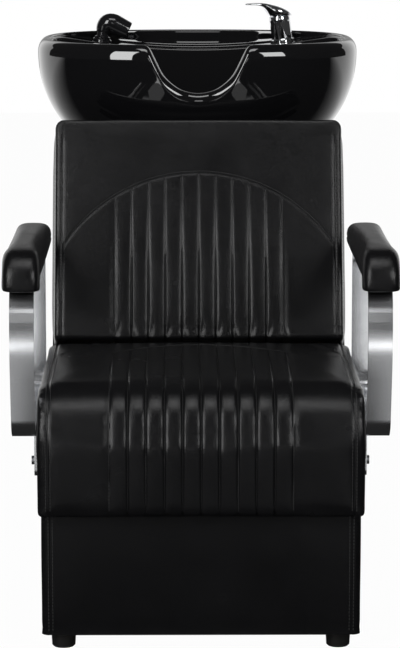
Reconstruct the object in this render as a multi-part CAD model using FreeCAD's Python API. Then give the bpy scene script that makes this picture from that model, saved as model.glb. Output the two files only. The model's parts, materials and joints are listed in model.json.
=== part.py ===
"""Salon backwash unit: an upholstered seat on a boarded base, chrome arm loops and a tilting ceramic bowl.

X runs across the unit, Y from the front to the back and Z up from the floor, in millimetres.
"""
import FreeCAD, Part
import math
import os

V = FreeCAD.Vector

# Gaps that the whole unit shares
CLEARANCE = 0.3            # between pieces that lie together or pass through one another
RUNNING_GAP = 0.08         # round a shaft that turns
OVERRUN = 6.0              # how far a cutting shape runs past the face that it cuts
ROUNDING_SHARE = 0.96      # the part of a side that rounded corners may take up

# Whole unit
SEAT_FRONT_Y = -545.0      # front of the seat, from the middle of the unit
RIM_HEIGHT = 916.0         # top of the bowl's rim above the floor

# Boards and leather
BOARD = 15.0
FLOOR_BOARD = 12.0
REAR_BOARD = 9.0
DECK_BOARD = 18.0
BACK_BOARD = 12.0
APRON_BOARD = 12.0
CLEAT = 20.0
LEATHER = 2.5

# Base box
BASE_WIDTH = 498.0
BASE_DEPTH = 870.0
BASE_TOP = 300.0
BASE_SETBACK = 34.0        # base front behind the seat front
BASE_CORNER_RADIUS = 14.0
REAR_PANEL_MARGIN = 36.0   # frame left open above and below the rear panel
SERVICE_WIDTH = 280.0      # cut-out in the floor board for hoses and drain
SERVICE_DEPTH = 200.0
SERVICE_SETBACK = 60.0     # cut-out from the rear edge

# Feet
FOOT_HEIGHT = 28.0
FOOT_TOP_RADIUS = 20.0
FOOT_SOLE_RADIUS = 18.5
FOOT_BEVEL = 2.5
FOOT_RECESS_RADIUS = 7.0
FOOT_RECESS_DEPTH = 14.0
FOOT_INSET_X = 31.0        # foot centre from the base's side
FOOT_INSET_Y = 40.0        # foot centre from the base's front and rear

# Seat cushion
SEAT_OVERHANG = 8.0        # seat beyond the base's side boards
SEAT_DEPTH = 472.0
SEAT_TOP = 430.0
SEAT_LIP_HEIGHT = 222.0    # bottom of the rolled front above the floor
SEAT_FRONT_RADIUS = 62.0
SEAT_REAR_RADIUS = 22.0
SEAT_LIP_RADIUS = 7.0
SEAT_LIP_TUCK = 4.0
SEAT_CROWN = 6.0
SEAT_ARCH_SETBACK = 82.0   # top of the arched seam in front of the seat's rear
SEAT_ARCH_RISE = 73.0
SEAT_BOARD_MARGIN = 22.0
APRON_LIFT = 5.0           # apron's lower edge above the lip

# Back cushion
BACK_OVERHANG = 2.5        # back beyond the base's side boards
BACK_LENGTH = 382.0        # along the slope
BACK_THICKNESS = 62.0
BACK_RECLINE = 20.0        # degrees from upright
BACK_FOOT_DEPTH = 455.0    # lower front corner behind the seat front
BACK_FOOT_HEIGHT = 428.0
BACK_ROLL_RADIUS = 28.0
BACK_TOP_RADIUS = 20.0
BACK_REAR_RADIUS = 9.0
BACK_CROWN = 6.0
BACK_ARCH_LENGTH = 291.0   # top of the arched seam, along the slope
BACK_ARCH_RISE = 272.0
BACK_ARCH_SIDE = 20.5      # arch's ends beyond the back's sides
BACK_BOARD_MARGIN = 21.0
BACK_RAIL_WIDTH = 60.0

# Sewn channels and rolled edges of the cushions
CHANNEL_COUNT = 11
CHANNEL_PITCH = 28.7
CHANNEL_DEPTH = 4.0
CHANNEL_HALF_WIDTH = 5.0
CHANNEL_RUNOUT = 14.0
CUSHION_EDGE_RADIUS = 20.0
EDGE_STEP_SHARES = (0.0, 0.12, 0.4, 1.0)

# Arm loops and rests
ARM_GAP = 3.0              # loop from the seat's side
ARM_BAR_WIDTH = 38.0
ARM_BAR = 9.0
ARM_BOTTOM = 334.0
ARM_TOP = 595.0
ARM_REAR_DEPTH = 468.0     # back of the rear bar behind the seat front
ARM_HEEL_DEPTH = 72.0      # lower front corner
ARM_BOW_DEPTH = 36.0       # foremost point of the bowed front bar
ARM_BOW_HEIGHT = 146.0     # that point above the lower bar
ARM_TOE_DEPTH = 50.0       # upper front corner
ARM_CORNER_RADIUS = 42.0
ARM_BOW_RADIUS = 250.0
ARM_TOE_RADIUS = 62.0
ARM_TAB = 5.0              # ears that hang from the lower bar
ARM_TAB_WIDTH = 40.0
ARM_TAB_DROP = 72.0
ARM_TAB_BOLT_DROP = 49.0
ARM_TAB_FRONT_INSET = 78.0  # front ear behind the lower front corner
ARM_TAB_REAR_INSET = 98.0  # rear ear ahead of the rear bar's back
PAD_WIDTH = 64.0
PAD_REAR_RISE = 34.0       # rest's top above the bar, at the back and at the front
PAD_FRONT_RISE = 47.0
PAD_FRONT_DEPTH = 17.0
PAD_NOSE_DROP = 20.0
PAD_NOSE = 31.0
PAD_NOSE_RADIUS = 48.0
PAD_HEEL_RADIUS = 13.0
PAD_LIP_RADIUS = 6.0
PAD_EDGE_RADIUS = 11.0
PAD_BOARD = 8.0
PAD_BOARD_WIDTH = 34.0
PAD_BOARD_SPAN = 300.0
PAD_SCREW_INSET = 50.0

# Fasteners
SCREW_RADIUS = 2.2
SCREW_HEAD_RADIUS = 4.5
SCREW_HEAD = 2.6
SCREW_BITE = 7.0
BOLT_RADIUS = 4.0
BOLT_HEAD_RADIUS = 7.0
BOLT_HEAD = 5.0
SPACER_RADIUS = 9.0
TEE_FLANGE_RADIUS = 9.0
TEE_FLANGE = 1.5
TEE_BARREL_RADIUS = 5.5
TEE_BARREL = 8.0
SEAT_BOLT_X = 150.0
SEAT_BOLT_FRONT_INSET = 120.0
SEAT_BOLT_REAR_INSET = 92.0
BACK_BOLT_LENGTHS = (90.0, 212.0)

# Bowl
BOWL_CENTRE_DEPTH = 855.0  # middle of the bowl behind the seat front
BOWL_WIDTH = 574.0
BOWL_DEPTH = 470.0
BOWL_HEIGHT = 200.0
RIM_RADIUS = 16.0
RIM_WIDTH = 20.0
RIM_INNER_RADIUS = 4.0
BASIN_STEP = 3.0           # small ledge below the rim, inside
BOWL_FOOT_WIDTH = 144.0
BOWL_FOOT_DEPTH = 140.0
BASIN_FLOOR_WIDTH = 116.0
BASIN_FLOOR_DEPTH = 112.0
BASIN_FLOOR_WALL = 13.0
SHELF_DEPTH = 122.0        # basin's rear edge ahead of the bowl's rear
BASIN_WALL = 12.0
SKIRT_WALL = 13.0
SKIRT_DROP = 82.0          # skirt round the shelf, below the rim
SHELF_DROP = 30.0          # shelf below the rim
SHELF_WALL = 12.0
SHELF_SWEEP_RADIUS = 1200.0
SHELF_INSET = 80.0         # tap and shower ahead of the bowl's rear
SHELF_HOLLOW_DEPTH = 185.0  # hollow under the shelf, from the bowl's rear
OVAL_POWER = 2.6
OVAL_POINTS = 32
WALL_ANGLES = (0.0, 15.0, 30.0, 45.0, 60.0, 75.0, 90.0)
RIM_ANGLES = (0.0, 30.0, 60.0, 90.0)
NOTCH_DEPTH = 84.0
NOTCH_HALF_WIDTH = 84.0
NOTCH_ARC_HALF_WIDTH = 70.0
NOTCH_ARC_RISE = 51.0
NOTCH_SHOULDER_DROP = 7.0
NOTCH_FLARE = 14.0
NOTCH_REACH = 120.0        # depth of the cut through the front wall
NOTCH_EDGE_RADIUS = 3.0

# Tilting carrier under the bowl
TILT_HEIGHT = 58.0         # bowl's foot above the deck
TILT_PLATE = 5.0
TILT_BASE_WIDTH = 190.0
TILT_BASE_DEPTH = 150.0
TILT_BOLT_SPREAD_X = 150.0
TILT_BOLT_SPREAD_Y = 110.0
TILT_PIVOT_SHARE = 0.48    # pivot's place between the deck and the bowl's foot
TILT_SLOT_WIDTH = 100.0
TILT_SLOT_FRONT = 58.0     # slot ahead of and behind the pivot
TILT_SLOT_REAR = 40.0
EAR = 6.0
EAR_RADIUS = 14.0
EAR_GAP = 0.5
CRADLE_EAR_X = 55.0
CRADLE_WIDTH = 136.0
CRADLE_DEPTH = 132.0
CRADLE_PAD = 4.0
CRADLE_PAD_RADIUS = 62.0
CRADLE_PAD_BORE = 33.0
PIVOT_RADIUS = 5.0
PIVOT_HEAD_RADIUS = 9.0
PIVOT_HEAD = 6.0
NUT = 6.0

# Drain
DRAIN_FLANGE_RADIUS = 40.0
DRAIN_FLANGE = 3.0
DRAIN_GASKET = 1.5
DRAIN_SHANK_RADIUS = 27.0
DRAIN_CUP_RADIUS = 24.5
DRAIN_CUP_DEPTH = 8.0
DRAIN_BORE_RADIUS = 18.0
DRAIN_SHANK_LENGTH = 42.0
DRAIN_NUT_RADIUS = 37.0
DRAIN_NUT = 9.0
TAIL_RADIUS = 20.0
TAIL_LENGTH = 120.0
TAIL_COLLAR = 5.0
TAIL_WALL = 4.0            # above the spigot that takes the waste hose
TAIL_SPIGOT = 70.0
TAIL_NUT_RADIUS = 33.0
TAIL_NUT_LIP = 4.0
TAIL_NUT_GRIP = 8.0
STRAINER_RADIUS = 24.0
STRAINER = 2.5
STRAINER_HOLE_RADIUS = 2.2
STRAINER_RING_COUNTS = (8, 14)
STRAINER_RING_RADII = (11.5, 18.5)
STRAINER_KNOB_RADIUS = 6.0
STRAINER_KNOB = 9.0
STRAINER_STEM_RADIUS = 3.5

# Mixer tap, along its own axis from the shelf
TAP_X = 160.0
TAP_GASKET = 1.5
TAP_RING_RADIUS = 22.5
TAP_RING = 5.0
TAP_RADIUS = 19.2
TAP_HEIGHT = 38.0
TAP_WALL = 4.6
TAP_FLOOR = 9.0
TAP_SHANK_RADIUS = 10.0
TAP_SHANK_LENGTH = 42.0
TAP_NUT_RADIUS = 17.0
TAP_NUT = 8.0
TAP_SPOTFACE_RADIUS = 24.0
INLET_RADIUS = 3.0         # screwed sockets for the hoses
INLET_CIRCLE = 5.2
INLET_DEPTH = 15.0
INLET_COUNT = 3
CARTRIDGE_HEIGHT = 24.0
STEM_RADIUS = 5.0
STEM_LENGTH = 12.0
LEVER_PIVOT_RISE = 4.0     # lever pin above the tap body
LEVER_PIN_RADIUS = 1.6
LEVER_PIN_SPAN = 19.0
DOME_RADIUS = 19.5
DOME_BORE_RADIUS = 12.6
DOME_HEIGHT = 10.0
CAP_RADIUS = 22.3
CAP_WALL = 2.3
CAP_SKIRT_LIFT = 3.2       # cap's lower edge above the pin
LUG = 3.0
LUG_WIDTH = 8.0
LEVER_REACH = 60.0
LEVER_TIP_RISE = 35.0      # lever tip above the pin
LEVER_WIDTH = 17.0
LEVER_TIP = 3.5
LEVER_ROOT = 15.0
LEVER_BEND_SHARE = 0.5
LEVER_BEND_RISE_SHARE = 0.8
LEVER_TURN = 20.0          # lever turned towards the front, in degrees

# Hand shower and its holder, along the holder's axis from the shelf
SHOWER_X = -176.0
HOLDER_RING_RADIUS = 19.0
HOLDER_RING = 5.0
HOLDER_RADIUS = 15.5
HOLDER_LENGTH = 40.0
HOLDER_NUT_RADIUS = 22.0
HOLDER_NUT = 8.0
HANDLE_RADIUS = 12.0
HANDLE_TIP_RADIUS = 10.0
HANDLE_LENGTH = 95.0
SHOULDER_RADIUS = 15.0
SHOULDER = 4.0
NECK_RADIUS = 11.5
NECK_RISE = 14.0
NECK_BEND_RADIUS = 12.0
NECK_TURN = 108.0          # degrees
HEAD_RADIUS = 16.5
HEAD_FLARE = 6.0
HEAD_LENGTH = 26.0
FACE_RADIUS = 14.0
FACE = 2.0
FACE_HOLE_RADIUS = 0.9
FACE_RING_COUNTS = (6, 12, 18)
FACE_RING_RADII = (4.2, 8.0, 11.8)
CONNECTOR_RADIUS = 7.5
CONNECTOR_LENGTH = 15.0

# Places worked out from the sizes above
BASE_FRONT_Y = SEAT_FRONT_Y + BASE_SETBACK
BASE_REAR_Y = BASE_FRONT_Y + BASE_DEPTH
PANEL_OUT = BASE_WIDTH / 2
PANEL_IN = PANEL_OUT - BOARD
COVER_OUT = PANEL_OUT + LEATHER
APRON_BACK_Y = BASE_FRONT_Y - LEATHER
APRON_FRONT_Y = APRON_BACK_Y - APRON_BOARD
SEAT_BOARD_TOP = BASE_TOP + BOARD
SEAT_HALF = PANEL_OUT + SEAT_OVERHANG
SEAT_REAR_Y = SEAT_FRONT_Y + SEAT_DEPTH
SEAT_BOLT_DEPTHS = (SEAT_BOLT_FRONT_INSET, SEAT_DEPTH - SEAT_BOLT_REAR_INSET)
BACK_HALF = PANEL_OUT + BACK_OVERHANG
BACK_FRAME_N = BACK_THICKNESS + CLEARANCE + BACK_BOARD
ARM_IN = SEAT_HALF + ARM_GAP
ARM_MIDDLE = ARM_IN + ARM_BAR_WIDTH / 2
ARM_TAB_DEPTHS = (ARM_HEEL_DEPTH + ARM_TAB_FRONT_INSET, ARM_REAR_DEPTH - ARM_TAB_REAR_INSET)
BOWL_Y = SEAT_FRONT_Y + BOWL_CENTRE_DEPTH
BOWL_REAR = BOWL_DEPTH / 2
BASIN_REAR = BOWL_REAR - SHELF_DEPTH
SHELF_SETBACK = BOWL_REAR - SHELF_INSET
SHELF_START = BOWL_REAR - SHELF_HOLLOW_DEPTH
BOWL_FOOT_Z = RIM_HEIGHT - BOWL_HEIGHT
BOWL_WIDEST_Z = RIM_HEIGHT - RIM_RADIUS
BASIN_FLOOR_Z = BOWL_FOOT_Z + BASIN_FLOOR_WALL
SHELF_Z = RIM_HEIGHT - SHELF_DROP
DECK_TOP = BOWL_FOOT_Z - TILT_HEIGHT
COLUMN_TOP = DECK_TOP - DECK_BOARD
PIVOT_Z = DECK_TOP + TILT_HEIGHT * TILT_PIVOT_SHARE
CRADLE_TOP = BOWL_FOOT_Z - CRADLE_PAD
CRADLE_BOTTOM = CRADLE_TOP - TILT_PLATE
BASE_EAR_X = CRADLE_EAR_X + EAR + EAR_GAP
LEVER_PIVOT = TAP_HEIGHT + LEVER_PIVOT_RISE
UP = V(0, 0, 1)
ACROSS = V(1, 0, 0)
BACKWARD = V(0, 1, 0)


# Plain solids
def box(low, high):
    """A box between two corners."""
    size = V(*high) - V(*low)
    return Part.makeBox(size.x, size.y, size.z, V(*low))


def rod(radius, start, end):
    """A round bar between two points."""
    span = V(*end) - V(*start)
    return Part.makeCylinder(radius, span.Length, V(*start), span)


def ring(outer, inner, start, end):
    """A round bar with a bore."""
    span = V(*end) - V(*start)
    step = V(span).normalize() * OVERRUN
    return rod(outer, start, end).cut(rod(inner, V(*start) - step, V(*end) + step))


def turned(profile):
    """A solid turned about Z from (radius, height) corners."""
    wire = Part.makePolygon([V(r, 0, z) for r, z in profile + profile[:1]])
    return Part.Face(wire).revolve(V(0, 0, 0), UP, 360)


def rounded(corners, radii):
    """A closed wire through the corners, each one rounded to its radius or to what its sides leave room for."""
    count = len(corners)
    sides = [corners[(index + 1) % count] - corners[index] for index in range(count)]
    halves = [(math.pi - sides[index - 1].getAngle(sides[index])) / 2 for index in range(count)]
    reaches = [radius / math.tan(half) for radius, half in zip(radii, halves)]
    fits = []
    for index in range(count):
        used = reaches[index] + reaches[(index + 1) % count]
        fits.append(min(1.0, sides[index].Length * ROUNDING_SHARE / used) if used else 1.0)
    edges = []
    ends = []
    for index, corner in enumerate(corners):
        before = (sides[index - 1] * -1).normalize()
        after = V(sides[index]).normalize()
        reach = reaches[index] * min(fits[index - 1], fits[index])
        if reach == 0:
            ends.append((corner, corner, None))
            continue
        half = halves[index]
        depth = reach * (1 / math.cos(half) - math.tan(half))
        middle = corner + (before + after).normalize() * depth
        ends.append((corner + before * reach, corner + after * reach, middle))
    for index, (start, end, middle) in enumerate(ends):
        if middle is not None:
            edges.append(Part.Arc(start, middle, end).toShape())
        edges.append(Part.LineSegment(end, ends[(index + 1) % len(ends)][0]).toShape())
    return Part.Wire(edges)


def side_wire(x, corners, radii):
    """A rounded outline of (y, z) corners in the plane at x."""
    return rounded([V(x, y, z) for y, z in corners], radii)


def side_prism(x0, x1, corners, radii=None):
    """A (y, z) outline carried across from x0 to x1."""
    wire = side_wire(x0, corners, radii or [0] * len(corners))
    return Part.Face(wire).extrude(V(x1 - x0, 0, 0))


def mirrored(shape):
    """The same piece on the other side of the unit."""
    return shape.mirror(V(0, 0, 0), ACROSS)


def joined(shapes):
    """Overlapping shapes made one solid."""
    return shapes[0].multiFuse(shapes[1:]).removeSplitter()


def group(shapes):
    """Separate solids kept in one piece list."""
    return Part.makeCompound(shapes)


def placed(shape, placement):
    """A copy of a shape, moved and turned."""
    copy = shape.copy()
    copy.Placement = placement.multiply(copy.Placement)
    return copy


def along(shape, point, direction):
    """A shape made along Z, moved to a point and turned to a direction."""
    return placed(shape, FreeCAD.Placement(V(*point), FreeCAD.Rotation(UP, V(direction))))


# Fasteners, each made along Z with its head seated at zero and its shank running up
def wood_screw(length):
    return joined([
        rod(SCREW_HEAD_RADIUS, (0, 0, -SCREW_HEAD), (0, 0, 0)),
        rod(SCREW_RADIUS, (0, 0, -SCREW_HEAD), (0, 0, length)),
    ])


def bolt(length):
    return joined([
        rod(BOLT_HEAD_RADIUS, (0, 0, -BOLT_HEAD), (0, 0, 0)),
        rod(BOLT_RADIUS, (0, 0, -BOLT_HEAD), (0, 0, length)),
    ])


def tee_nut():
    """A tee nut with its flange at zero and its barrel running down."""
    barrel = rod(TEE_BARREL_RADIUS, (0, 0, -TEE_FLANGE - TEE_BARREL), (0, 0, 0))
    flange = rod(TEE_FLANGE_RADIUS, (0, 0, -TEE_FLANGE), (0, 0, 0))
    bore = rod(BOLT_RADIUS + CLEARANCE, (0, 0, -TEE_FLANGE - TEE_BARREL - OVERRUN), (0, 0, OVERRUN))
    return barrel.fuse(flange).cut(bore)


def tee_nut_seat():
    """The stepped hole that takes a tee nut."""
    barrel = rod(TEE_BARREL_RADIUS + CLEARANCE, (0, 0, -TEE_FLANGE - TEE_BARREL), (0, 0, OVERRUN))
    flange = rod(TEE_FLANGE_RADIUS + CLEARANCE, (0, 0, -TEE_FLANGE), (0, 0, OVERRUN))
    return barrel.fuse(flange)


def drilled(shape, radius, points, direction, reach):
    """A shape with a row of through holes along one direction."""
    half = V(direction) * reach
    return shape.cut([rod(radius, V(*point) - half, V(*point) + half) for point in points])


# Base box
def back_to_world(shape):
    """A shape made with the back cushion's front at y = 0 and its foot at z = 0, set at its recline."""
    foot = V(0, SEAT_FRONT_Y + BACK_FOOT_DEPTH, BACK_FOOT_HEIGHT)
    turn = FreeCAD.Rotation(ACROSS, -BACK_RECLINE)
    return placed(shape, FreeCAD.Placement(foot, turn))


def back_slope_y(z):
    """Where the sloping front edge of the column stands at height z."""
    lean = math.radians(BACK_RECLINE)
    climb = (z - BACK_FOOT_HEIGHT + BACK_FRAME_N * math.sin(lean)) / math.cos(lean)
    return SEAT_FRONT_Y + BACK_FOOT_DEPTH + climb * math.sin(lean) + BACK_FRAME_N * math.cos(lean)


def boot_outline(front_y, bottom, rear_y):
    """Side outline of the base with the column that rises behind the seat."""
    return [
        (front_y, bottom),
        (rear_y, bottom),
        (rear_y, COLUMN_TOP),
        (back_slope_y(COLUMN_TOP), COLUMN_TOP),
        (back_slope_y(BASE_TOP), BASE_TOP),
        (front_y, BASE_TOP),
    ]


def rounded_front(shape, half_width, front_y, radius):
    """Rounds the upright front edges that stand at plus or minus the half width."""
    edges = []
    for edge in shape.Edges:
        spot = edge.BoundBox
        upright = spot.XLength < CLEARANCE and spot.YLength < CLEARANCE
        at_corner = abs(abs(spot.XMin) - half_width) < CLEARANCE and abs(spot.YMin - front_y) < CLEARANCE
        if upright and at_corner:
            edges.append(edge)
    return shape.makeFillet(radius, edges)


def arm_bolt_points():
    height = ARM_BOTTOM - ARM_TAB_BOLT_DROP
    return [(0, SEAT_FRONT_Y + depth, height) for depth in ARM_TAB_DEPTHS]


def make_side_panel():
    panel = side_prism(PANEL_IN, PANEL_OUT, boot_outline(BASE_FRONT_Y, FOOT_HEIGHT, BASE_REAR_Y))
    panel = rounded_front(panel, PANEL_OUT, BASE_FRONT_Y, BASE_CORNER_RADIUS - LEATHER)
    panel = drilled(panel, BOLT_RADIUS + CLEARANCE, arm_bolt_points(), ACROSS, BASE_WIDTH)
    for point in arm_bolt_points():
        panel = panel.cut(along(tee_nut_seat(), (PANEL_IN, point[1], point[2]), -ACROSS))
    holes = [(x, y, COLUMN_TOP) for x, y in deck_screw_places()]
    return drilled(panel, SCREW_RADIUS + CLEARANCE, holes, UP, DECK_BOARD + SCREW_BITE + OVERRUN)


def make_base_cover():
    front_y = BASE_FRONT_Y - LEATHER
    outer = side_prism(-COVER_OUT, COVER_OUT, boot_outline(front_y, FOOT_HEIGHT, BASE_REAR_Y))
    outer = rounded_front(outer, COVER_OUT, front_y, BASE_CORNER_RADIUS)
    inner = box(
        (-PANEL_OUT, BASE_FRONT_Y, FOOT_HEIGHT - OVERRUN),
        (PANEL_OUT, BASE_REAR_Y + OVERRUN, COLUMN_TOP + OVERRUN),
    )
    inner = rounded_front(inner, PANEL_OUT, BASE_FRONT_Y, BASE_CORNER_RADIUS - LEATHER)
    cover = outer.cut(inner)
    return drilled(cover, BOLT_RADIUS + CLEARANCE, arm_bolt_points(), ACROSS, BASE_WIDTH)


def make_front_board():
    return box(
        (-PANEL_IN, BASE_FRONT_Y, FOOT_HEIGHT + FLOOR_BOARD),
        (PANEL_IN, BASE_FRONT_Y + BOARD, BASE_TOP - BOARD),
    )


def make_base_floor():
    floor = box(
        (-PANEL_IN, BASE_FRONT_Y, FOOT_HEIGHT),
        (PANEL_IN, BASE_REAR_Y, FOOT_HEIGHT + FLOOR_BOARD),
    )
    service_rear = BASE_REAR_Y - SERVICE_SETBACK
    service = box(
        (-SERVICE_WIDTH / 2, service_rear - SERVICE_DEPTH, FOOT_HEIGHT - OVERRUN),
        (SERVICE_WIDTH / 2, service_rear, FOOT_HEIGHT + FLOOR_BOARD + OVERRUN),
    )
    return drilled(floor.cut(service), SCREW_RADIUS + CLEARANCE, foot_places(), UP, FOOT_HEIGHT + FLOOR_BOARD)


def make_seat_deck():
    deck = box(
        (-PANEL_IN, BASE_FRONT_Y, BASE_TOP - BOARD),
        (PANEL_IN, back_slope_y(BASE_TOP), BASE_TOP),
    )
    return drilled(deck, BOLT_RADIUS + CLEARANCE, seat_bolt_points(), UP, SEAT_TOP)


def make_back_rail(length_along):
    half = BACK_RAIL_WIDTH / 2
    rail = box(
        (-PANEL_IN, BACK_FRAME_N, length_along - half),
        (PANEL_IN, BACK_FRAME_N + BOARD, length_along + half),
    )
    points = [(x, BACK_FRAME_N, length_along) for x in (-SEAT_BOLT_X, SEAT_BOLT_X)]
    return back_to_world(drilled(rail, BOLT_RADIUS + CLEARANCE, points, BACKWARD, BOARD + OVERRUN))


def tilt_slot(bottom, top):
    """The opening round the drain that leaves it room to swing."""
    return box(
        (-TILT_SLOT_WIDTH / 2, BOWL_Y - TILT_SLOT_FRONT, bottom - OVERRUN),
        (TILT_SLOT_WIDTH / 2, BOWL_Y + TILT_SLOT_REAR, top + OVERRUN),
    )


def tilt_bolt_points():
    half_x = TILT_BOLT_SPREAD_X / 2
    half_y = TILT_BOLT_SPREAD_Y / 2
    return [(x, BOWL_Y + y, DECK_TOP) for x in (-half_x, half_x) for y in (-half_y, half_y)]


def deck_front_y():
    return back_slope_y(DECK_TOP) + CLEARANCE


def deck_screw_places():
    x = PANEL_IN + BOARD / 2
    inset = FOOT_INSET_Y
    rows = (deck_front_y() + inset, BASE_REAR_Y - inset)
    return [(side * x, y) for side in (-1, 1) for y in rows]


def make_bowl_deck():
    deck = box((-PANEL_OUT, deck_front_y(), COLUMN_TOP), (PANEL_OUT, BASE_REAR_Y, DECK_TOP))
    deck = deck.cut(tilt_slot(COLUMN_TOP, DECK_TOP))
    deck = drilled(deck, BOLT_RADIUS + CLEARANCE, tilt_bolt_points(), UP, DECK_BOARD + OVERRUN)
    for x, y in deck_screw_places():
        deck = deck.cut(rod(SCREW_RADIUS + CLEARANCE, (x, y, COLUMN_TOP - OVERRUN), (x, y, DECK_TOP)))
        head_floor = DECK_TOP - SCREW_HEAD - CLEARANCE
        deck = deck.cut(rod(SCREW_HEAD_RADIUS + CLEARANCE, (x, y, head_floor), (x, y, DECK_TOP + OVERRUN)))
    return deck


def rear_panel_span():
    bottom = FOOT_HEIGHT + FLOOR_BOARD + REAR_PANEL_MARGIN
    return bottom, COLUMN_TOP - REAR_PANEL_MARGIN


def rear_screw_points():
    bottom, top = rear_panel_span()
    x = PANEL_IN - CLEAT / 2
    return [(side * x, BASE_REAR_Y, z) for side in (-1, 1) for z in (bottom + CLEAT, top - CLEAT)]


def make_rear_panel():
    bottom, top = rear_panel_span()
    panel = box((-PANEL_IN, BASE_REAR_Y - REAR_BOARD, bottom), (PANEL_IN, BASE_REAR_Y, top))
    return drilled(panel, SCREW_RADIUS + CLEARANCE, rear_screw_points(), BACKWARD, REAR_BOARD + OVERRUN)


def make_panel_cleats():
    bottom, top = rear_panel_span()
    rear_y = BASE_REAR_Y - REAR_BOARD
    cleat = box((PANEL_IN - CLEAT, rear_y - CLEAT, bottom), (PANEL_IN, rear_y, top))
    cleats = [cleat, mirrored(cleat)]
    reach = REAR_BOARD + SCREW_BITE
    return group([drilled(one, SCREW_RADIUS + CLEARANCE, rear_screw_points(), BACKWARD, reach) for one in cleats])


# Feet
def foot_places():
    x = PANEL_OUT - FOOT_INSET_X
    rows = (BASE_FRONT_Y + FOOT_INSET_Y, BASE_REAR_Y - FOOT_INSET_Y)
    return [(side * x, y, 0) for y in rows for side in (-1, 1)]


def make_foot(place):
    foot = turned([
        (0, 0),
        (FOOT_SOLE_RADIUS - FOOT_BEVEL, 0),
        (FOOT_SOLE_RADIUS, FOOT_BEVEL),
        (FOOT_TOP_RADIUS, FOOT_HEIGHT),
        (0, FOOT_HEIGHT),
    ])
    recess = rod(FOOT_RECESS_RADIUS, (0, 0, -OVERRUN), (0, 0, FOOT_RECESS_DEPTH))
    hole = rod(SCREW_RADIUS + CLEARANCE, (0, 0, 0), (0, 0, FOOT_HEIGHT + OVERRUN))
    return along(foot.cut([recess, hole]), place, UP)


# Seat
def seat_bolt_points():
    rows = [SEAT_FRONT_Y + depth for depth in SEAT_BOLT_DEPTHS]
    return [(x, y, BASE_TOP) for x in (-SEAT_BOLT_X, SEAT_BOLT_X) for y in rows]


def make_seat_board():
    half = SEAT_HALF - SEAT_BOARD_MARGIN
    rear_y = SEAT_REAR_Y - SEAT_BOARD_MARGIN
    board = box((-half, APRON_FRONT_Y, BASE_TOP), (half, rear_y, SEAT_BOARD_TOP))
    board = drilled(board, BOLT_RADIUS + CLEARANCE, seat_bolt_points(), UP, BOARD + OVERRUN)
    for x, y, _ in seat_bolt_points():
        board = board.cut(along(tee_nut_seat(), (x, y, SEAT_BOARD_TOP), UP))
    return board


def make_seat_apron():
    half = SEAT_HALF - SEAT_BOARD_MARGIN
    return box((-half, APRON_FRONT_Y, SEAT_LIP_HEIGHT + APRON_LIFT), (half, APRON_BACK_Y, BASE_TOP))


def cushion_stations(half_width):
    """Places across a cushion where its section changes, each with its channel drop and edge inset."""
    stations = []
    outermost = CHANNEL_PITCH * (CHANNEL_COUNT - 1) / 2
    for index in range(CHANNEL_COUNT):
        x = index * CHANNEL_PITCH - outermost
        stations.append((x - CHANNEL_HALF_WIDTH, 0.0, 0.0))
        stations.append((x, CHANNEL_DEPTH, 0.0))
        stations.append((x + CHANNEL_HALF_WIDTH, 0.0, 0.0))
    for share in EDGE_STEP_SHARES:
        depth = CUSHION_EDGE_RADIUS * share
        rest = CUSHION_EDGE_RADIUS - depth
        inset = CUSHION_EDGE_RADIUS - math.sqrt(CUSHION_EDGE_RADIUS ** 2 - rest ** 2)
        stations.append((half_width - depth, 0.0, inset))
        stations.append((depth - half_width, 0.0, inset))
    return sorted(stations)


def seat_section(x, drop, inset):
    fall = SEAT_CROWN * (x / SEAT_HALF) ** 2 + inset
    top = SEAT_TOP - fall
    front_y = SEAT_FRONT_Y + inset / 2
    rear_y = SEAT_REAR_Y - inset / 2
    lip_back_y = APRON_FRONT_Y - CLEARANCE
    half_arch = CHANNEL_PITCH * (CHANNEL_COUNT - 1) / 2
    sweep = min(1.0, (x / half_arch) ** 2)
    arch_y = SEAT_REAR_Y - SEAT_ARCH_SETBACK - SEAT_ARCH_RISE * sweep
    floor_z = SEAT_BOARD_TOP + CLEARANCE
    corners = [
        (lip_back_y, SEAT_LIP_HEIGHT),
        (front_y + SEAT_LIP_TUCK + drop, SEAT_LIP_HEIGHT),
        (front_y + drop, top - drop),
        (arch_y - CHANNEL_RUNOUT, top - drop),
        (arch_y, top),
        (rear_y, top),
        (rear_y, floor_z),
        (lip_back_y, floor_z),
    ]
    radii = [0, SEAT_LIP_RADIUS, SEAT_FRONT_RADIUS, 0, 0, SEAT_REAR_RADIUS, 0, 0]
    return side_wire(x, corners, radii)


def make_seat_cushion():
    sections = [seat_section(*station) for station in cushion_stations(SEAT_HALF)]
    return Part.makeLoft(sections, True, True)


# Back
def back_arch(x):
    """Height of the arched seam along the slope."""
    share = x / (BACK_HALF + BACK_ARCH_SIDE)
    return BACK_ARCH_LENGTH - BACK_ARCH_RISE * (1 - math.sqrt(1 - share ** 2))


def back_section(x, drop, inset):
    front = inset - BACK_CROWN * (1 - (x / BACK_HALF) ** 2)
    foot = inset / 2
    top = BACK_LENGTH - inset / 2
    arch = back_arch(x)
    corners = [
        (BACK_THICKNESS, foot),
        (front + drop, foot),
        (front + drop, arch - CHANNEL_RUNOUT),
        (front, arch),
        (front, top),
        (BACK_THICKNESS, top),
    ]
    radii = [BACK_REAR_RADIUS, BACK_ROLL_RADIUS, 0, 0, BACK_TOP_RADIUS, BACK_REAR_RADIUS]
    return side_wire(x, corners, radii)


def make_back_cushion():
    sections = [back_section(*station) for station in cushion_stations(BACK_HALF)]
    return back_to_world(Part.makeLoft(sections, True, True))


def back_bolt_points():
    return [(x, 0, length) for x in (-SEAT_BOLT_X, SEAT_BOLT_X) for length in BACK_BOLT_LENGTHS]


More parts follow.
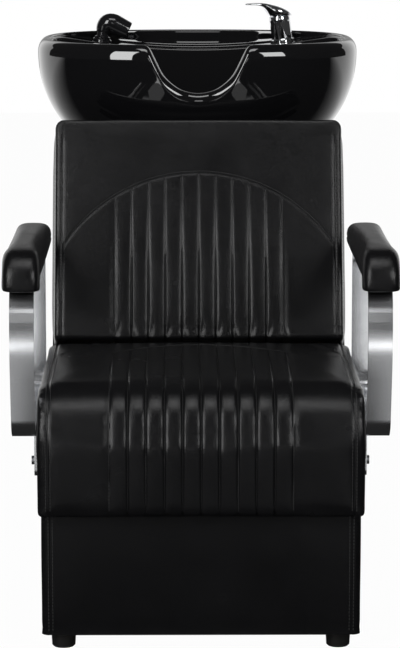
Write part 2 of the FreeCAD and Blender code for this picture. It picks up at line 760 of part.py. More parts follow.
def make_back_board():
    front = BACK_THICKNESS + CLEARANCE
    half = BACK_HALF - BACK_BOARD_MARGIN
    board = box((-half, front, BACK_BOARD_MARGIN), (half, BACK_FRAME_N, BACK_LENGTH - BACK_BOARD_MARGIN))
    board = drilled(board, BOLT_RADIUS + CLEARANCE, back_bolt_points(), BACKWARD, BACK_FRAME_N + OVERRUN)
    for x, _, length in back_bolt_points():
        board = board.cut(along(tee_nut_seat(), (x, front, length), -BACKWARD))
    return back_to_world(board)


# Arm loops and rests
def arm_outline():
    bow_z = ARM_BOTTOM + ARM_BOW_HEIGHT
    corners = [
        (SEAT_FRONT_Y + ARM_HEEL_DEPTH, ARM_BOTTOM),
        (SEAT_FRONT_Y + ARM_BOW_DEPTH, bow_z),
        (SEAT_FRONT_Y + ARM_TOE_DEPTH, ARM_TOP),
        (SEAT_FRONT_Y + ARM_REAR_DEPTH, ARM_TOP),
        (SEAT_FRONT_Y + ARM_REAR_DEPTH, ARM_BOTTOM),
    ]
    radii = [ARM_CORNER_RADIUS, ARM_BOW_RADIUS, ARM_TOE_RADIUS, ARM_CORNER_RADIUS, ARM_CORNER_RADIUS]
    return side_wire(ARM_IN, corners, radii)


def pad_screw_points():
    middle = SEAT_FRONT_Y + ARM_REAR_DEPTH - ARM_CORNER_RADIUS - PAD_BOARD_SPAN / 2
    spread = PAD_BOARD_SPAN / 2 - PAD_SCREW_INSET
    return [(ARM_MIDDLE, middle - spread, ARM_TOP), (ARM_MIDDLE, middle + spread, ARM_TOP)]


def make_arm_loop():
    outer = arm_outline()
    inner = outer.makeOffset2D(-ARM_BAR)
    across = V(ARM_BAR_WIDTH, 0, 0)
    loop = Part.Face(outer).extrude(across).cut(Part.Face(inner).extrude(across))
    tab_in = ARM_IN + CLEARANCE
    for _, y, z in arm_bolt_points():
        half = ARM_TAB_WIDTH / 2
        foot = ARM_BOTTOM - ARM_TAB_DROP
        corners = [(y - half, foot), (y + half, foot), (y + half, ARM_BOTTOM), (y - half, ARM_BOTTOM)]
        tab = side_prism(tab_in, tab_in + ARM_TAB, corners, [half / 2, half / 2, 0, 0])
        loop = loop.fuse(tab)
    loop = drilled(loop.removeSplitter(), BOLT_RADIUS + CLEARANCE, arm_bolt_points(), ACROSS, BASE_WIDTH)
    return drilled(loop, SCREW_RADIUS + CLEARANCE, pad_screw_points(), UP, ARM_BAR + OVERRUN)


def pad_board_box(grow):
    """The board inside an arm rest, or the pocket that it lies in when grown."""
    rear_y = SEAT_FRONT_Y + ARM_REAR_DEPTH - ARM_CORNER_RADIUS
    half = PAD_BOARD_WIDTH / 2 + grow
    return box(
        (ARM_MIDDLE - half, rear_y - PAD_BOARD_SPAN - grow, ARM_TOP),
        (ARM_MIDDLE + half, rear_y + grow, ARM_TOP + PAD_BOARD + grow),
    )


def make_pad_board():
    return drilled(pad_board_box(0), SCREW_RADIUS + CLEARANCE, pad_screw_points(), UP, SCREW_BITE)


def pad_section(x, inset):
    front_y = SEAT_FRONT_Y + PAD_FRONT_DEPTH + inset
    rear_y = SEAT_FRONT_Y + ARM_REAR_DEPTH - inset / 2
    nose_z = ARM_TOP - PAD_NOSE_DROP
    floor_z = ARM_TOP + CLEARANCE
    corners = [
        (rear_y, floor_z),
        (SEAT_FRONT_Y + ARM_TOE_DEPTH, floor_z),
        (SEAT_FRONT_Y + PAD_FRONT_DEPTH + PAD_NOSE, nose_z),
        (front_y, nose_z),
        (front_y, ARM_TOP + PAD_FRONT_RISE - inset),
        (rear_y, ARM_TOP + PAD_REAR_RISE - inset),
    ]
    nose_inner = PAD_LIP_RADIUS / 2
    radii = [0, 0, nose_inner, PAD_LIP_RADIUS, PAD_NOSE_RADIUS, PAD_HEEL_RADIUS]
    return side_wire(x, corners, radii)


def make_arm_pad():
    sections = []
    half = PAD_WIDTH / 2
    for side in (-1, 1):
        for share in EDGE_STEP_SHARES:
            depth = PAD_EDGE_RADIUS * share
            rest = PAD_EDGE_RADIUS - depth
            inset = PAD_EDGE_RADIUS - math.sqrt(PAD_EDGE_RADIUS ** 2 - rest ** 2)
            sections.append((ARM_MIDDLE + side * (half - depth), inset))
    pad = Part.makeLoft([pad_section(*section) for section in sorted(sections)], True, True)
    bar = Part.Face(arm_outline().makeOffset2D(CLEARANCE)).extrude(V(ARM_BAR_WIDTH + PAD_WIDTH, 0, 0))
    bar.translate(V(-PAD_WIDTH / 2, 0, 0))
    return pad.cut([bar, pad_board_box(CLEARANCE)])


# Shared fasteners
def make_wood_screws():
    screws = []
    board_screw = wood_screw(REAR_BOARD + SCREW_BITE)
    for point in rear_screw_points():
        screws.append(along(board_screw, point, -BACKWARD))
    for x, y in deck_screw_places():
        screws.append(along(wood_screw(DECK_BOARD + SCREW_BITE), (x, y, DECK_TOP - SCREW_HEAD - CLEARANCE), -UP))
    foot_screw = wood_screw(FOOT_HEIGHT - FOOT_RECESS_DEPTH + SCREW_BITE)
    for x, y, z in foot_places():
        screws.append(along(foot_screw, (x, y, z + FOOT_RECESS_DEPTH), UP))
    rest_screw = wood_screw(ARM_BAR + SCREW_BITE - CLEARANCE)
    for x, y, z in pad_screw_points():
        for side in (-1, 1):
            screws.append(along(rest_screw, (side * x, y, z - ARM_BAR), UP))
    return group(screws)


def make_cushion_bolts():
    bolts = []
    seat_bolt = bolt(BOARD + BOARD - TEE_FLANGE)
    for x, y, z in seat_bolt_points():
        bolts.append(along(seat_bolt, (x, y, z - BOARD), UP))
    back_bolt = bolt(BOARD + BACK_BOARD - TEE_FLANGE)
    for x, _, length in back_bolt_points():
        bolts.append(back_to_world(along(back_bolt, (x, BACK_FRAME_N + BOARD, length), -BACKWARD)))
    return group(bolts)


def make_tee_nuts():
    nuts = []
    for x, y, _ in seat_bolt_points():
        nuts.append(along(tee_nut(), (x, y, SEAT_BOARD_TOP), UP))
    for x, _, length in back_bolt_points():
        nuts.append(back_to_world(along(tee_nut(), (x, BACK_THICKNESS + CLEARANCE, length), -BACKWARD)))
    for _, y, z in arm_bolt_points():
        nuts.append(along(tee_nut(), (PANEL_IN, y, z), -ACROSS))
        nuts.append(along(tee_nut(), (-PANEL_IN, y, z), ACROSS))
    return group(nuts)


def make_arm_spacers():
    spacers = []
    for _, y, z in arm_bolt_points():
        spacer = ring(SPACER_RADIUS, BOLT_RADIUS + CLEARANCE, (COVER_OUT, y, z), (ARM_IN + CLEARANCE, y, z))
        spacers += [spacer, mirrored(spacer)]
    return group(spacers)


def make_arm_bolts():
    bolts = []
    seat_x = ARM_IN + CLEARANCE + ARM_TAB
    arm_bolt = bolt(seat_x - PANEL_IN - TEE_FLANGE)
    for _, y, z in arm_bolt_points():
        one = along(arm_bolt, (seat_x, y, z), -ACROSS)
        bolts += [one, mirrored(one)]
    return group(bolts)


# Bowl
def oval(half_width, front, rear, z):
    """A closed plan curve, squarer than an ellipse, whose front and rear halves may differ in depth."""
    points = []
    for step in range(OVAL_POINTS):
        turn = 2 * math.pi * step / OVAL_POINTS
        across = math.cos(turn)
        back = math.sin(turn)
        depth = rear if back > 0 else front
        x = half_width * math.copysign(abs(across) ** (2 / OVAL_POWER), across)
        y = depth * math.copysign(abs(back) ** (2 / OVAL_POWER), back)
        points.append(V(x, BOWL_Y + y, z))
    curve = Part.BSplineCurve()
    curve.interpolate(points, PeriodicFlag=True)
    return Part.Wire(curve.toShape())


def bowl_shell(thickness):
    """The bowl's outer form, drawn in all round by a thickness."""
    half_width = BOWL_WIDTH / 2 - thickness
    half_depth = BOWL_DEPTH / 2 - thickness
    foot_z = BOWL_FOOT_Z + thickness
    sections = []
    for degrees in WALL_ANGLES:
        angle = math.radians(degrees)
        narrow = 1 - math.sin(angle)
        z = BOWL_WIDEST_Z - (BOWL_WIDEST_Z - foot_z) * math.cos(angle)
        width = half_width - (half_width - BOWL_FOOT_WIDTH / 2) * narrow
        depth = half_depth - (half_depth - BOWL_FOOT_DEPTH / 2) * narrow
        sections.append(oval(width, depth, depth, z))
    rim_sections = []
    for degrees in RIM_ANGLES:
        angle = math.radians(degrees)
        inset = RIM_RADIUS * (1 - math.cos(angle))
        z = BOWL_WIDEST_Z + RIM_RADIUS * math.sin(angle)
        rim_sections.append(oval(half_width - inset, half_depth - inset, half_depth - inset, z))
    return Part.makeLoft(sections, True, False).fuse(Part.makeLoft(rim_sections, True, False))


def basin_form(thickness):
    """The hollow of the basin, or with a thickness the outside of its wall."""
    half_width = BOWL_WIDTH / 2 - RIM_WIDTH - BASIN_STEP + thickness
    front = BOWL_DEPTH / 2 - RIM_WIDTH - BASIN_STEP + thickness
    rear = BASIN_REAR + thickness
    floor_width = BASIN_FLOOR_WIDTH / 2 + thickness
    floor_depth = BASIN_FLOOR_DEPTH / 2 + thickness
    floor_z = BASIN_FLOOR_Z - thickness
    sections = []
    for degrees in WALL_ANGLES:
        angle = math.radians(degrees)
        narrow = 1 - math.sin(angle)
        z = BOWL_WIDEST_Z - (BOWL_WIDEST_Z - floor_z) * math.cos(angle)
        sections.append(oval(
            half_width - (half_width - floor_width) * narrow,
            front - (front - floor_depth) * narrow,
            rear - (rear - floor_depth) * narrow,
            z,
        ))
    sections.append(oval(half_width, front, rear, RIM_HEIGHT + OVERRUN))
    return Part.makeLoft(sections, True, False)


def shelf_sweep(radius):
    """A wide round bar whose lower side is the hollow of the shelf."""
    centre_z = SHELF_Z + SHELF_SWEEP_RADIUS
    return rod(radius, (0, BOWL_Y - BOWL_DEPTH, centre_z), (0, BOWL_Y + BOWL_DEPTH, centre_z))


def rim_recess():
    """The space above the shelf inside the rim, widened a little at the rim's top."""
    half_width = BOWL_WIDTH / 2 - RIM_WIDTH
    half_depth = BOWL_DEPTH / 2 - RIM_WIDTH
    low = oval(half_width, half_depth, half_depth, SHELF_Z - OVERRUN)
    middle = oval(half_width, half_depth, half_depth, RIM_HEIGHT - RIM_INNER_RADIUS)
    spread = RIM_INNER_RADIUS
    top = oval(half_width + spread, half_depth + spread, half_depth + spread, RIM_HEIGHT + CLEARANCE)
    return Part.makeLoft([low, middle, top], True, True).common(shelf_sweep(SHELF_SWEEP_RADIUS))


def shelf_hollow():
    """The space under the shelf, open below and behind, outside the basin's wall."""
    skirt_bottom = RIM_HEIGHT - SKIRT_DROP
    half_width = BOWL_WIDTH / 2
    open_below = box(
        (-half_width, BOWL_Y + SHELF_START, BOWL_FOOT_Z - OVERRUN),
        (half_width, BOWL_Y + BOWL_DEPTH, skirt_bottom),
    )
    inside = bowl_shell(SKIRT_WALL).common(box(
        (-half_width, BOWL_Y + SHELF_START, skirt_bottom - OVERRUN),
        (half_width, BOWL_Y + BOWL_DEPTH, RIM_HEIGHT),
    ))
    hollow = open_below.fuse(inside)
    return hollow.cut([shelf_sweep(SHELF_SWEEP_RADIUS + SHELF_WALL), basin_form(BASIN_WALL)])


def notch_cut():
    """The neck notch through the front rim."""
    bottom = RIM_HEIGHT - NOTCH_DEPTH
    arc_z = bottom + NOTCH_ARC_RISE
    shoulder_z = RIM_HEIGHT - NOTCH_SHOULDER_DROP
    above = RIM_HEIGHT + OVERRUN
    front_y = BOWL_Y - BOWL_DEPTH / 2 - OVERRUN
    right = [
        V(NOTCH_ARC_HALF_WIDTH, front_y, arc_z),
        V(NOTCH_HALF_WIDTH, front_y, shoulder_z),
        V(NOTCH_HALF_WIDTH + NOTCH_FLARE, front_y, above),
    ]
    left = [V(-point.x, point.y, point.z) for point in reversed(right)]
    edges = [Part.Arc(left[2], V(0, front_y, bottom), right[0]).toShape()]
    chain = right + left
    for start, end in zip(chain, chain[1:]):
        edges.append(Part.LineSegment(start, end).toShape())
    return Part.Face(Part.Wire(edges)).extrude(V(0, NOTCH_REACH, 0))


def shelf_frame(x):
    """Place and lean of a fitting that stands on the curved shelf at x."""
    lean = math.asin(x / SHELF_SWEEP_RADIUS)
    z = SHELF_Z + SHELF_SWEEP_RADIUS * (1 - math.cos(lean))
    turn = FreeCAD.Rotation(BACKWARD, -math.degrees(lean))
    return FreeCAD.Placement(V(x, BOWL_Y + SHELF_SETBACK, z), turn)


def on_shelf(shape, x):
    return placed(shape, shelf_frame(x))


def shelf_hole(radius, face_radius, x):
    """A through hole in the shelf with a flat seat round it."""
    hole = rod(radius, (0, 0, -SHELF_WALL - OVERRUN), (0, 0, OVERRUN))
    seat = rod(face_radius, (0, 0, 0), (0, 0, OVERRUN))
    return on_shelf(hole.fuse(seat), x)


def make_bowl():
    bowl = bowl_shell(0).cut(rim_recess())
    bowl = bowl.cut(basin_form(0))
    bowl = bowl.cut(shelf_hollow())
    bowl = bowl.cut(notch_cut())
    recess = DRAIN_FLANGE + DRAIN_GASKET
    seat_z = BASIN_FLOOR_Z - recess
    drain_seat = rod(DRAIN_FLANGE_RADIUS + CLEARANCE, (0, BOWL_Y, seat_z), (0, BOWL_Y, BASIN_FLOOR_Z + OVERRUN))
    drain_hole = rod(DRAIN_SHANK_RADIUS + CLEARANCE, (0, BOWL_Y, BOWL_FOOT_Z - OVERRUN), (0, BOWL_Y, BASIN_FLOOR_Z))
    tap_hole = shelf_hole(TAP_SHANK_RADIUS + CLEARANCE, TAP_SPOTFACE_RADIUS, TAP_X)
    shower_hole = shelf_hole(HOLDER_RADIUS + CLEARANCE, HOLDER_RING_RADIUS + CLEARANCE, SHOWER_X)
    return bowl.cut([drain_seat, drain_hole, tap_hole, shower_hole])


# Tilting carrier
def ear(x, z_root):
    """A rounded ear about the pivot, reaching up or down to its plate."""
    hub = rod(EAR_RADIUS, (x, BOWL_Y, PIVOT_Z), (x + EAR, BOWL_Y, PIVOT_Z))
    low = min(z_root, PIVOT_Z)
    high = max(z_root, PIVOT_Z)
    web = box((x, BOWL_Y - EAR_RADIUS, low), (x + EAR, BOWL_Y + EAR_RADIUS, high))
    return hub.fuse(web)


def pivot_hole(radius):
    return rod(radius, (-TILT_BASE_WIDTH, BOWL_Y, PIVOT_Z), (TILT_BASE_WIDTH, BOWL_Y, PIVOT_Z))


def make_tilt_base():
    top = DECK_TOP + TILT_PLATE
    half_x = TILT_BASE_WIDTH / 2
    half_y = TILT_BASE_DEPTH / 2
    plate = box((-half_x, BOWL_Y - half_y, DECK_TOP), (half_x, BOWL_Y + half_y, top))
    plate = plate.cut(tilt_slot(DECK_TOP, top))
    right = ear(BASE_EAR_X, top)
    base = joined([plate, right, mirrored(right)])
    base = drilled(base, BOLT_RADIUS + CLEARANCE, tilt_bolt_points(), UP, DECK_BOARD)
    return base.cut(pivot_hole(PIVOT_RADIUS + CLEARANCE))


def make_tilt_bolts():
    one = bolt(TILT_PLATE + DECK_BOARD + NUT)
    return group([along(one, (x, y, z + TILT_PLATE), -UP) for x, y, z in tilt_bolt_points()])


def make_tilt_nuts():
    nuts = []
    for x, y, _ in tilt_bolt_points():
        nuts.append(ring(BOLT_HEAD_RADIUS, BOLT_RADIUS + CLEARANCE, (x, y, COLUMN_TOP - NUT), (x, y, COLUMN_TOP)))
    start = CRADLE_EAR_X - CLEARANCE
    nut = ring(
        PIVOT_HEAD_RADIUS,
        PIVOT_RADIUS + CLEARANCE,
        (start - NUT, BOWL_Y, PIVOT_Z),
        (start, BOWL_Y, PIVOT_Z),
    )
    return group(nuts + [nut, mirrored(nut)])


def make_pivot_bolts():
    seat_x = BASE_EAR_X + EAR
    head = rod(PIVOT_HEAD_RADIUS, (seat_x, BOWL_Y, PIVOT_Z), (seat_x + PIVOT_HEAD, BOWL_Y, PIVOT_Z))
    tip_x = CRADLE_EAR_X - CLEARANCE - NUT
    shank = rod(PIVOT_RADIUS, (tip_x, BOWL_Y, PIVOT_Z), (seat_x + PIVOT_HEAD, BOWL_Y, PIVOT_Z))
    one = joined([head, shank])
    return group([one, mirrored(one)])


def make_tilt_cradle():
    half_x = CRADLE_WIDTH / 2
    half_y = CRADLE_DEPTH / 2
    plate = box((-half_x, BOWL_Y - half_y, CRADLE_BOTTOM), (half_x, BOWL_Y + half_y, CRADLE_TOP))
    right = ear(CRADLE_EAR_X, CRADLE_BOTTOM)
    cradle = joined([plate, right, mirrored(right)]).cut(pivot_hole(PIVOT_RADIUS + RUNNING_GAP))
    drain = rod(
        DRAIN_SHANK_RADIUS + CLEARANCE,
        (0, BOWL_Y, CRADLE_BOTTOM - OVERRUN),
        (0, BOWL_Y, CRADLE_TOP + OVERRUN),
    )
    return cradle.cut(drain)


def make_cradle_pad():
    return ring(CRADLE_PAD_RADIUS, CRADLE_PAD_BORE, (0, BOWL_Y, CRADLE_TOP), (0, BOWL_Y, BOWL_FOOT_Z))


# Drain
def at_drain(shape):
    """A drain piece made with the flange's top at zero."""
    shape.translate(V(0, BOWL_Y, BASIN_FLOOR_Z))
    return shape


def drain_nut_top():
    return CRADLE_BOTTOM - BASIN_FLOOR_Z


def shank_end():
    return drain_nut_top() - DRAIN_NUT - TAIL_NUT_GRIP - CLEARANCE


def make_drain_flange():
    body = turned([
        (DRAIN_CUP_RADIUS, 0),
        (DRAIN_FLANGE_RADIUS, 0),
        (DRAIN_FLANGE_RADIUS, -DRAIN_FLANGE),
        (DRAIN_SHANK_RADIUS, -DRAIN_FLANGE),
        (DRAIN_SHANK_RADIUS, shank_end()),
        (DRAIN_BORE_RADIUS, shank_end()),
        (DRAIN_BORE_RADIUS, -DRAIN_CUP_DEPTH),
        (DRAIN_CUP_RADIUS, -DRAIN_CUP_DEPTH),
    ])
    return at_drain(body)


def make_drain_gasket():
    top = -DRAIN_FLANGE
    return at_drain(ring(
        DRAIN_FLANGE_RADIUS,
        DRAIN_SHANK_RADIUS + CLEARANCE,
        (0, 0, top - DRAIN_GASKET),
        (0, 0, top),
    ))


def make_drain_nut():
    top = drain_nut_top()
    return at_drain(ring(DRAIN_NUT_RADIUS, DRAIN_SHANK_RADIUS + CLEARANCE, (0, 0, top - DRAIN_NUT), (0, 0, top)))


def make_drain_tail():
    top = shank_end()
    end = top - TAIL_LENGTH
    stout = DRAIN_BORE_RADIUS + TAIL_WALL
    tail = turned([
        (DRAIN_BORE_RADIUS, top),
        (DRAIN_SHANK_RADIUS, top),
        (DRAIN_SHANK_RADIUS, top - TAIL_COLLAR),
        (stout, top - TAIL_COLLAR),
        (stout, end + TAIL_SPIGOT),
        (TAIL_RADIUS, end + TAIL_SPIGOT),
        (TAIL_RADIUS, end),
        (DRAIN_BORE_RADIUS, end),
    ])
    return at_drain(tail)


def make_tail_nut():
    lip_top = shank_end() - TAIL_COLLAR
    grip_top = shank_end() + TAIL_NUT_GRIP
    bore = DRAIN_BORE_RADIUS + TAIL_WALL + CLEARANCE
    nut = turned([
        (bore, lip_top - TAIL_NUT_LIP),
        (TAIL_NUT_RADIUS, lip_top - TAIL_NUT_LIP),
        (TAIL_NUT_RADIUS, grip_top),
        (DRAIN_SHANK_RADIUS + CLEARANCE, grip_top),
        (DRAIN_SHANK_RADIUS + CLEARANCE, lip_top),
        (bore, lip_top),
    ])
    return at_drain(nut)


def ring_of_holes(counts, circles, radius, bottom, top):
    """Upright holes on rings, each with its count and its circle's radius."""
    holes = []
    for count, circle in zip(counts, circles):
        for index in range(count):
            turn = 2 * math.pi * index / count
            spot = (circle * math.cos(turn), circle * math.sin(turn))
            holes.append(rod(radius, spot + (bottom,), spot + (top,)))
    return holes


def make_hair_strainer():
    floor = CLEARANCE - DRAIN_CUP_DEPTH
    plate = rod(STRAINER_RADIUS, (0, 0, floor), (0, 0, floor + STRAINER))
    hole_top = floor + STRAINER + OVERRUN
    holes = ring_of_holes(
        STRAINER_RING_COUNTS, STRAINER_RING_RADII, STRAINER_HOLE_RADIUS, floor - OVERRUN, hole_top)
    stem_top = floor + STRAINER + STRAINER_KNOB
    stem = rod(STRAINER_STEM_RADIUS, (0, 0, floor), (0, 0, stem_top))
    knob = turned([
        (0, stem_top - STRAINER_KNOB / 2),
        (STRAINER_STEM_RADIUS, stem_top - STRAINER_KNOB / 2),
        (STRAINER_KNOB_RADIUS, stem_top - STRAINER_KNOB / 3),
        (STRAINER_KNOB_RADIUS, stem_top - STRAINER_KNOB / 9),
        (STRAINER_STEM_RADIUS, stem_top),
        (0, stem_top),
    ])
    return at_drain(joined([plate.cut(holes), stem, knob]))


# Mixer tap
def make_tap_gasket():
    return on_shelf(ring(TAP_RING_RADIUS, TAP_SHANK_RADIUS + CLEARANCE, (0, 0, 0), (0, 0, TAP_GASKET)), TAP_X)


def make_tap_body():
    bore = TAP_RADIUS - TAP_WALL
    ring_top = TAP_GASKET + TAP_RING
    bevel = TAP_RING_RADIUS - TAP_RADIUS
    body = turned([
        (0, -TAP_SHANK_LENGTH),
        (TAP_SHANK_RADIUS, -TAP_SHANK_LENGTH),
        (TAP_SHANK_RADIUS, TAP_GASKET),
        (TAP_RING_RADIUS, TAP_GASKET),
        (TAP_RING_RADIUS, ring_top - bevel / 2),
        (TAP_RADIUS, ring_top),
        (TAP_RADIUS, TAP_HEIGHT),
        (bore, TAP_HEIGHT),
        (bore, TAP_FLOOR),
        (0, TAP_FLOOR),
    ])
    end = -TAP_SHANK_LENGTH
    inlets = ring_of_holes((INLET_COUNT,), (INLET_CIRCLE,), INLET_RADIUS, end - OVERRUN, end + INLET_DEPTH)
    return on_shelf(body.cut(inlets), TAP_X)


def make_tap_shank_nut():
    top = -SHELF_WALL
    nut = ring(TAP_NUT_RADIUS, TAP_SHANK_RADIUS + CLEARANCE, (0, 0, top - TAP_NUT), (0, 0, top))
    return on_shelf(nut, TAP_X)


def make_tap_cartridge():
    radius = TAP_RADIUS - TAP_WALL - CLEARANCE
    return on_shelf(rod(radius, (0, 0, TAP_FLOOR), (0, 0, TAP_FLOOR + CARTRIDGE_HEIGHT)), TAP_X)


def make_tap_bonnet():
    """The domed collar that holds the cartridge down."""
    ball = Part.makeSphere(DOME_RADIUS, V(0, 0, LEVER_PIVOT))
    slab = rod(DOME_RADIUS, (0, 0, TAP_HEIGHT), (0, 0, TAP_HEIGHT + DOME_HEIGHT))
    base = rod(TAP_RADIUS - CLEARANCE, (0, 0, TAP_HEIGHT), (0, 0, LEVER_PIVOT))
    bore = rod(DOME_BORE_RADIUS, (0, 0, TAP_HEIGHT - OVERRUN), (0, 0, TAP_HEIGHT + DOME_HEIGHT + OVERRUN))
    return on_shelf(ball.common(slab).common(base.fuse(slab)).cut(bore), TAP_X)


def lever_turned(shape):
    """A lever piece turned about the tap's axis to where the lever points."""
    shape.rotate(V(0, 0, 0), UP, LEVER_TURN)
    return on_shelf(shape, TAP_X)


def make_tap_stem():
    floor = TAP_FLOOR + CARTRIDGE_HEIGHT + CLEARANCE
    stem = rod(STEM_RADIUS, (0, 0, floor), (0, 0, floor + STEM_LENGTH))
    half = LEVER_PIN_SPAN / 2
    hole = rod(LEVER_PIN_RADIUS + RUNNING_GAP, (0, -half, LEVER_PIVOT), (0, half, LEVER_PIVOT))
    return lever_turned(stem.cut(hole))


def make_lever_pin():
    half = LEVER_PIN_SPAN / 2
    return lever_turned(rod(LEVER_PIN_RADIUS, (0, -half, LEVER_PIVOT), (0, half, LEVER_PIVOT)))


def lever_blade():
    """The lever, a flat tongue that rises from the cap and thins to its tip."""
    half = LEVER_WIDTH / 2
    tip_z = LEVER_PIVOT + LEVER_TIP_RISE
    bend_x = -LEVER_REACH * LEVER_BEND_SHARE
    bend_z = LEVER_PIVOT + LEVER_TIP_RISE * LEVER_BEND_RISE_SHARE
    root_x = -LEVER_ROOT / 2
    points = [
        V(root_x, -half, LEVER_PIVOT + CAP_RADIUS - CAP_WALL / 2),
        V(bend_x, -half, bend_z),
        V(-LEVER_REACH, -half, tip_z),
        V(-LEVER_REACH, -half, tip_z - LEVER_TIP),
        V(bend_x, -half, bend_z - LEVER_TIP - LEVER_TIP),
        V(root_x - LEVER_ROOT / 2, -half, LEVER_PIVOT + LEVER_ROOT / 2),
        V(root_x, -half, LEVER_PIVOT + LEVER_ROOT / 2),
    ]
    wire = Part.makePolygon(points + points[:1])
    blade = Part.Face(wire).extrude(V(0, LEVER_WIDTH, 0))
    upright = [edge for edge in blade.Edges if edge.BoundBox.XMax < -LEVER_REACH + CLEARANCE]
    tips = [edge for edge in upright if edge.BoundBox.YLength < CLEARANCE]
    return blade.makeFillet(half - LEVER_TIP / 2, tips)


def make_tap_handle():
    centre = V(0, 0, LEVER_PIVOT)
    skirt_z = LEVER_PIVOT + CAP_SKIRT_LIFT
    inner = CAP_RADIUS - CAP_WALL
    above = rod(CAP_RADIUS, (0, 0, skirt_z), (0, 0, LEVER_PIVOT + CAP_RADIUS))
    cap = Part.makeSphere(CAP_RADIUS, centre).common(above)
    hollow = Part.makeSphere(inner, centre)
    shell = cap.fuse(lever_blade()).cut(hollow)
    lugs = []
    lug_in = STEM_RADIUS + CLEARANCE
    for side in (-1, 1):
        near = side * lug_in
        far = side * (lug_in + LUG)
        lug = box(
            (-LUG_WIDTH / 2, min(near, far), LEVER_PIVOT - LUG_WIDTH / 2),
            (LUG_WIDTH / 2, max(near, far), LEVER_PIVOT + inner),
        )
        lugs.append(lug)
    half = LEVER_PIN_SPAN / 2
    hole = rod(LEVER_PIN_RADIUS + RUNNING_GAP, (0, -half, LEVER_PIVOT), (0, half, LEVER_PIVOT))
    return lever_turned(joined([shell] + lugs).cut(hole))


# Hand shower
def make_shower_holder():
    bore = HANDLE_RADIUS + CLEARANCE
    holder = turned([
        (bore, HOLDER_RING),
        (bore, -HOLDER_LENGTH),
        (HOLDER_RADIUS, -HOLDER_LENGTH),
        (HOLDER_RADIUS, 0),
        (HOLDER_RING_RADIUS, 0),
        (HOLDER_RING_RADIUS, HOLDER_RING / 2),
        (HOLDER_RADIUS, HOLDER_RING),
    ])
    return on_shelf(holder, SHOWER_X)


def make_shower_holder_nut():
    top = -SHELF_WALL
    nut = ring(HOLDER_NUT_RADIUS, HOLDER_RADIUS + CLEARANCE, (0, 0, top - HOLDER_NUT), (0, 0, top))
    return on_shelf(nut, SHOWER_X)


def neck_start():
    return HOLDER_RING + CLEARANCE + SHOULDER + NECK_RISE


def make_shower_handle():
    seat = HOLDER_RING + CLEARANCE
    grip = turned([
        (0, -HANDLE_LENGTH),
        (HANDLE_TIP_RADIUS, -HANDLE_LENGTH),
        (HANDLE_RADIUS, -HOLDER_LENGTH),
        (HANDLE_RADIUS, seat),
        (SHOULDER_RADIUS, seat),
        (SHOULDER_RADIUS, seat + SHOULDER / 2),
        (NECK_RADIUS, seat + SHOULDER),
        (NECK_RADIUS, neck_start()),
        (0, neck_start()),
    ])
    circle = Part.Face(Part.Wire(Part.Circle(V(0, 0, neck_start()), UP, NECK_RADIUS).toShape()))
    bend = circle.revolve(V(NECK_BEND_RADIUS, 0, neck_start()), BACKWARD, NECK_TURN)
    return on_shelf(joined([grip, bend]), SHOWER_X)


def at_head(shape):
    """A piece of the head, made along Z, set at the end of the bent neck."""
    turn = math.radians(NECK_TURN)
    x = NECK_BEND_RADIUS * (1 - math.cos(turn))
    z = neck_start() + NECK_BEND_RADIUS * math.sin(turn)
    return on_shelf(along(shape, (x, 0, z), (math.sin(turn), 0, math.cos(turn))), SHOWER_X)


def make_shower_head():
    length = HEAD_FLARE + HEAD_LENGTH
    head = turned([
        (0, 0),
        (NECK_RADIUS, 0),
        (HEAD_RADIUS, HEAD_FLARE),
        (HEAD_RADIUS, length - FACE / 2),
        (HEAD_RADIUS - FACE / 2, length),
        (FACE_RADIUS + CLEARANCE, length),
        (FACE_RADIUS + CLEARANCE, length - FACE),
        (0, length - FACE),
    ])
    return at_head(head)


def make_shower_face():
    length = HEAD_FLARE + HEAD_LENGTH
    face = rod(FACE_RADIUS, (0, 0, length - FACE), (0, 0, length))
    holes = ring_of_holes(
        FACE_RING_COUNTS, FACE_RING_RADII, FACE_HOLE_RADIUS, length - FACE / 2, length + OVERRUN)
    return at_head(face.cut(holes))


def make_hose_connector():
    top = -HANDLE_LENGTH
    return on_shelf(rod(CONNECTOR_RADIUS, (0, 0, top - CONNECTOR_LENGTH), (0, 0, top)), SHOWER_X)


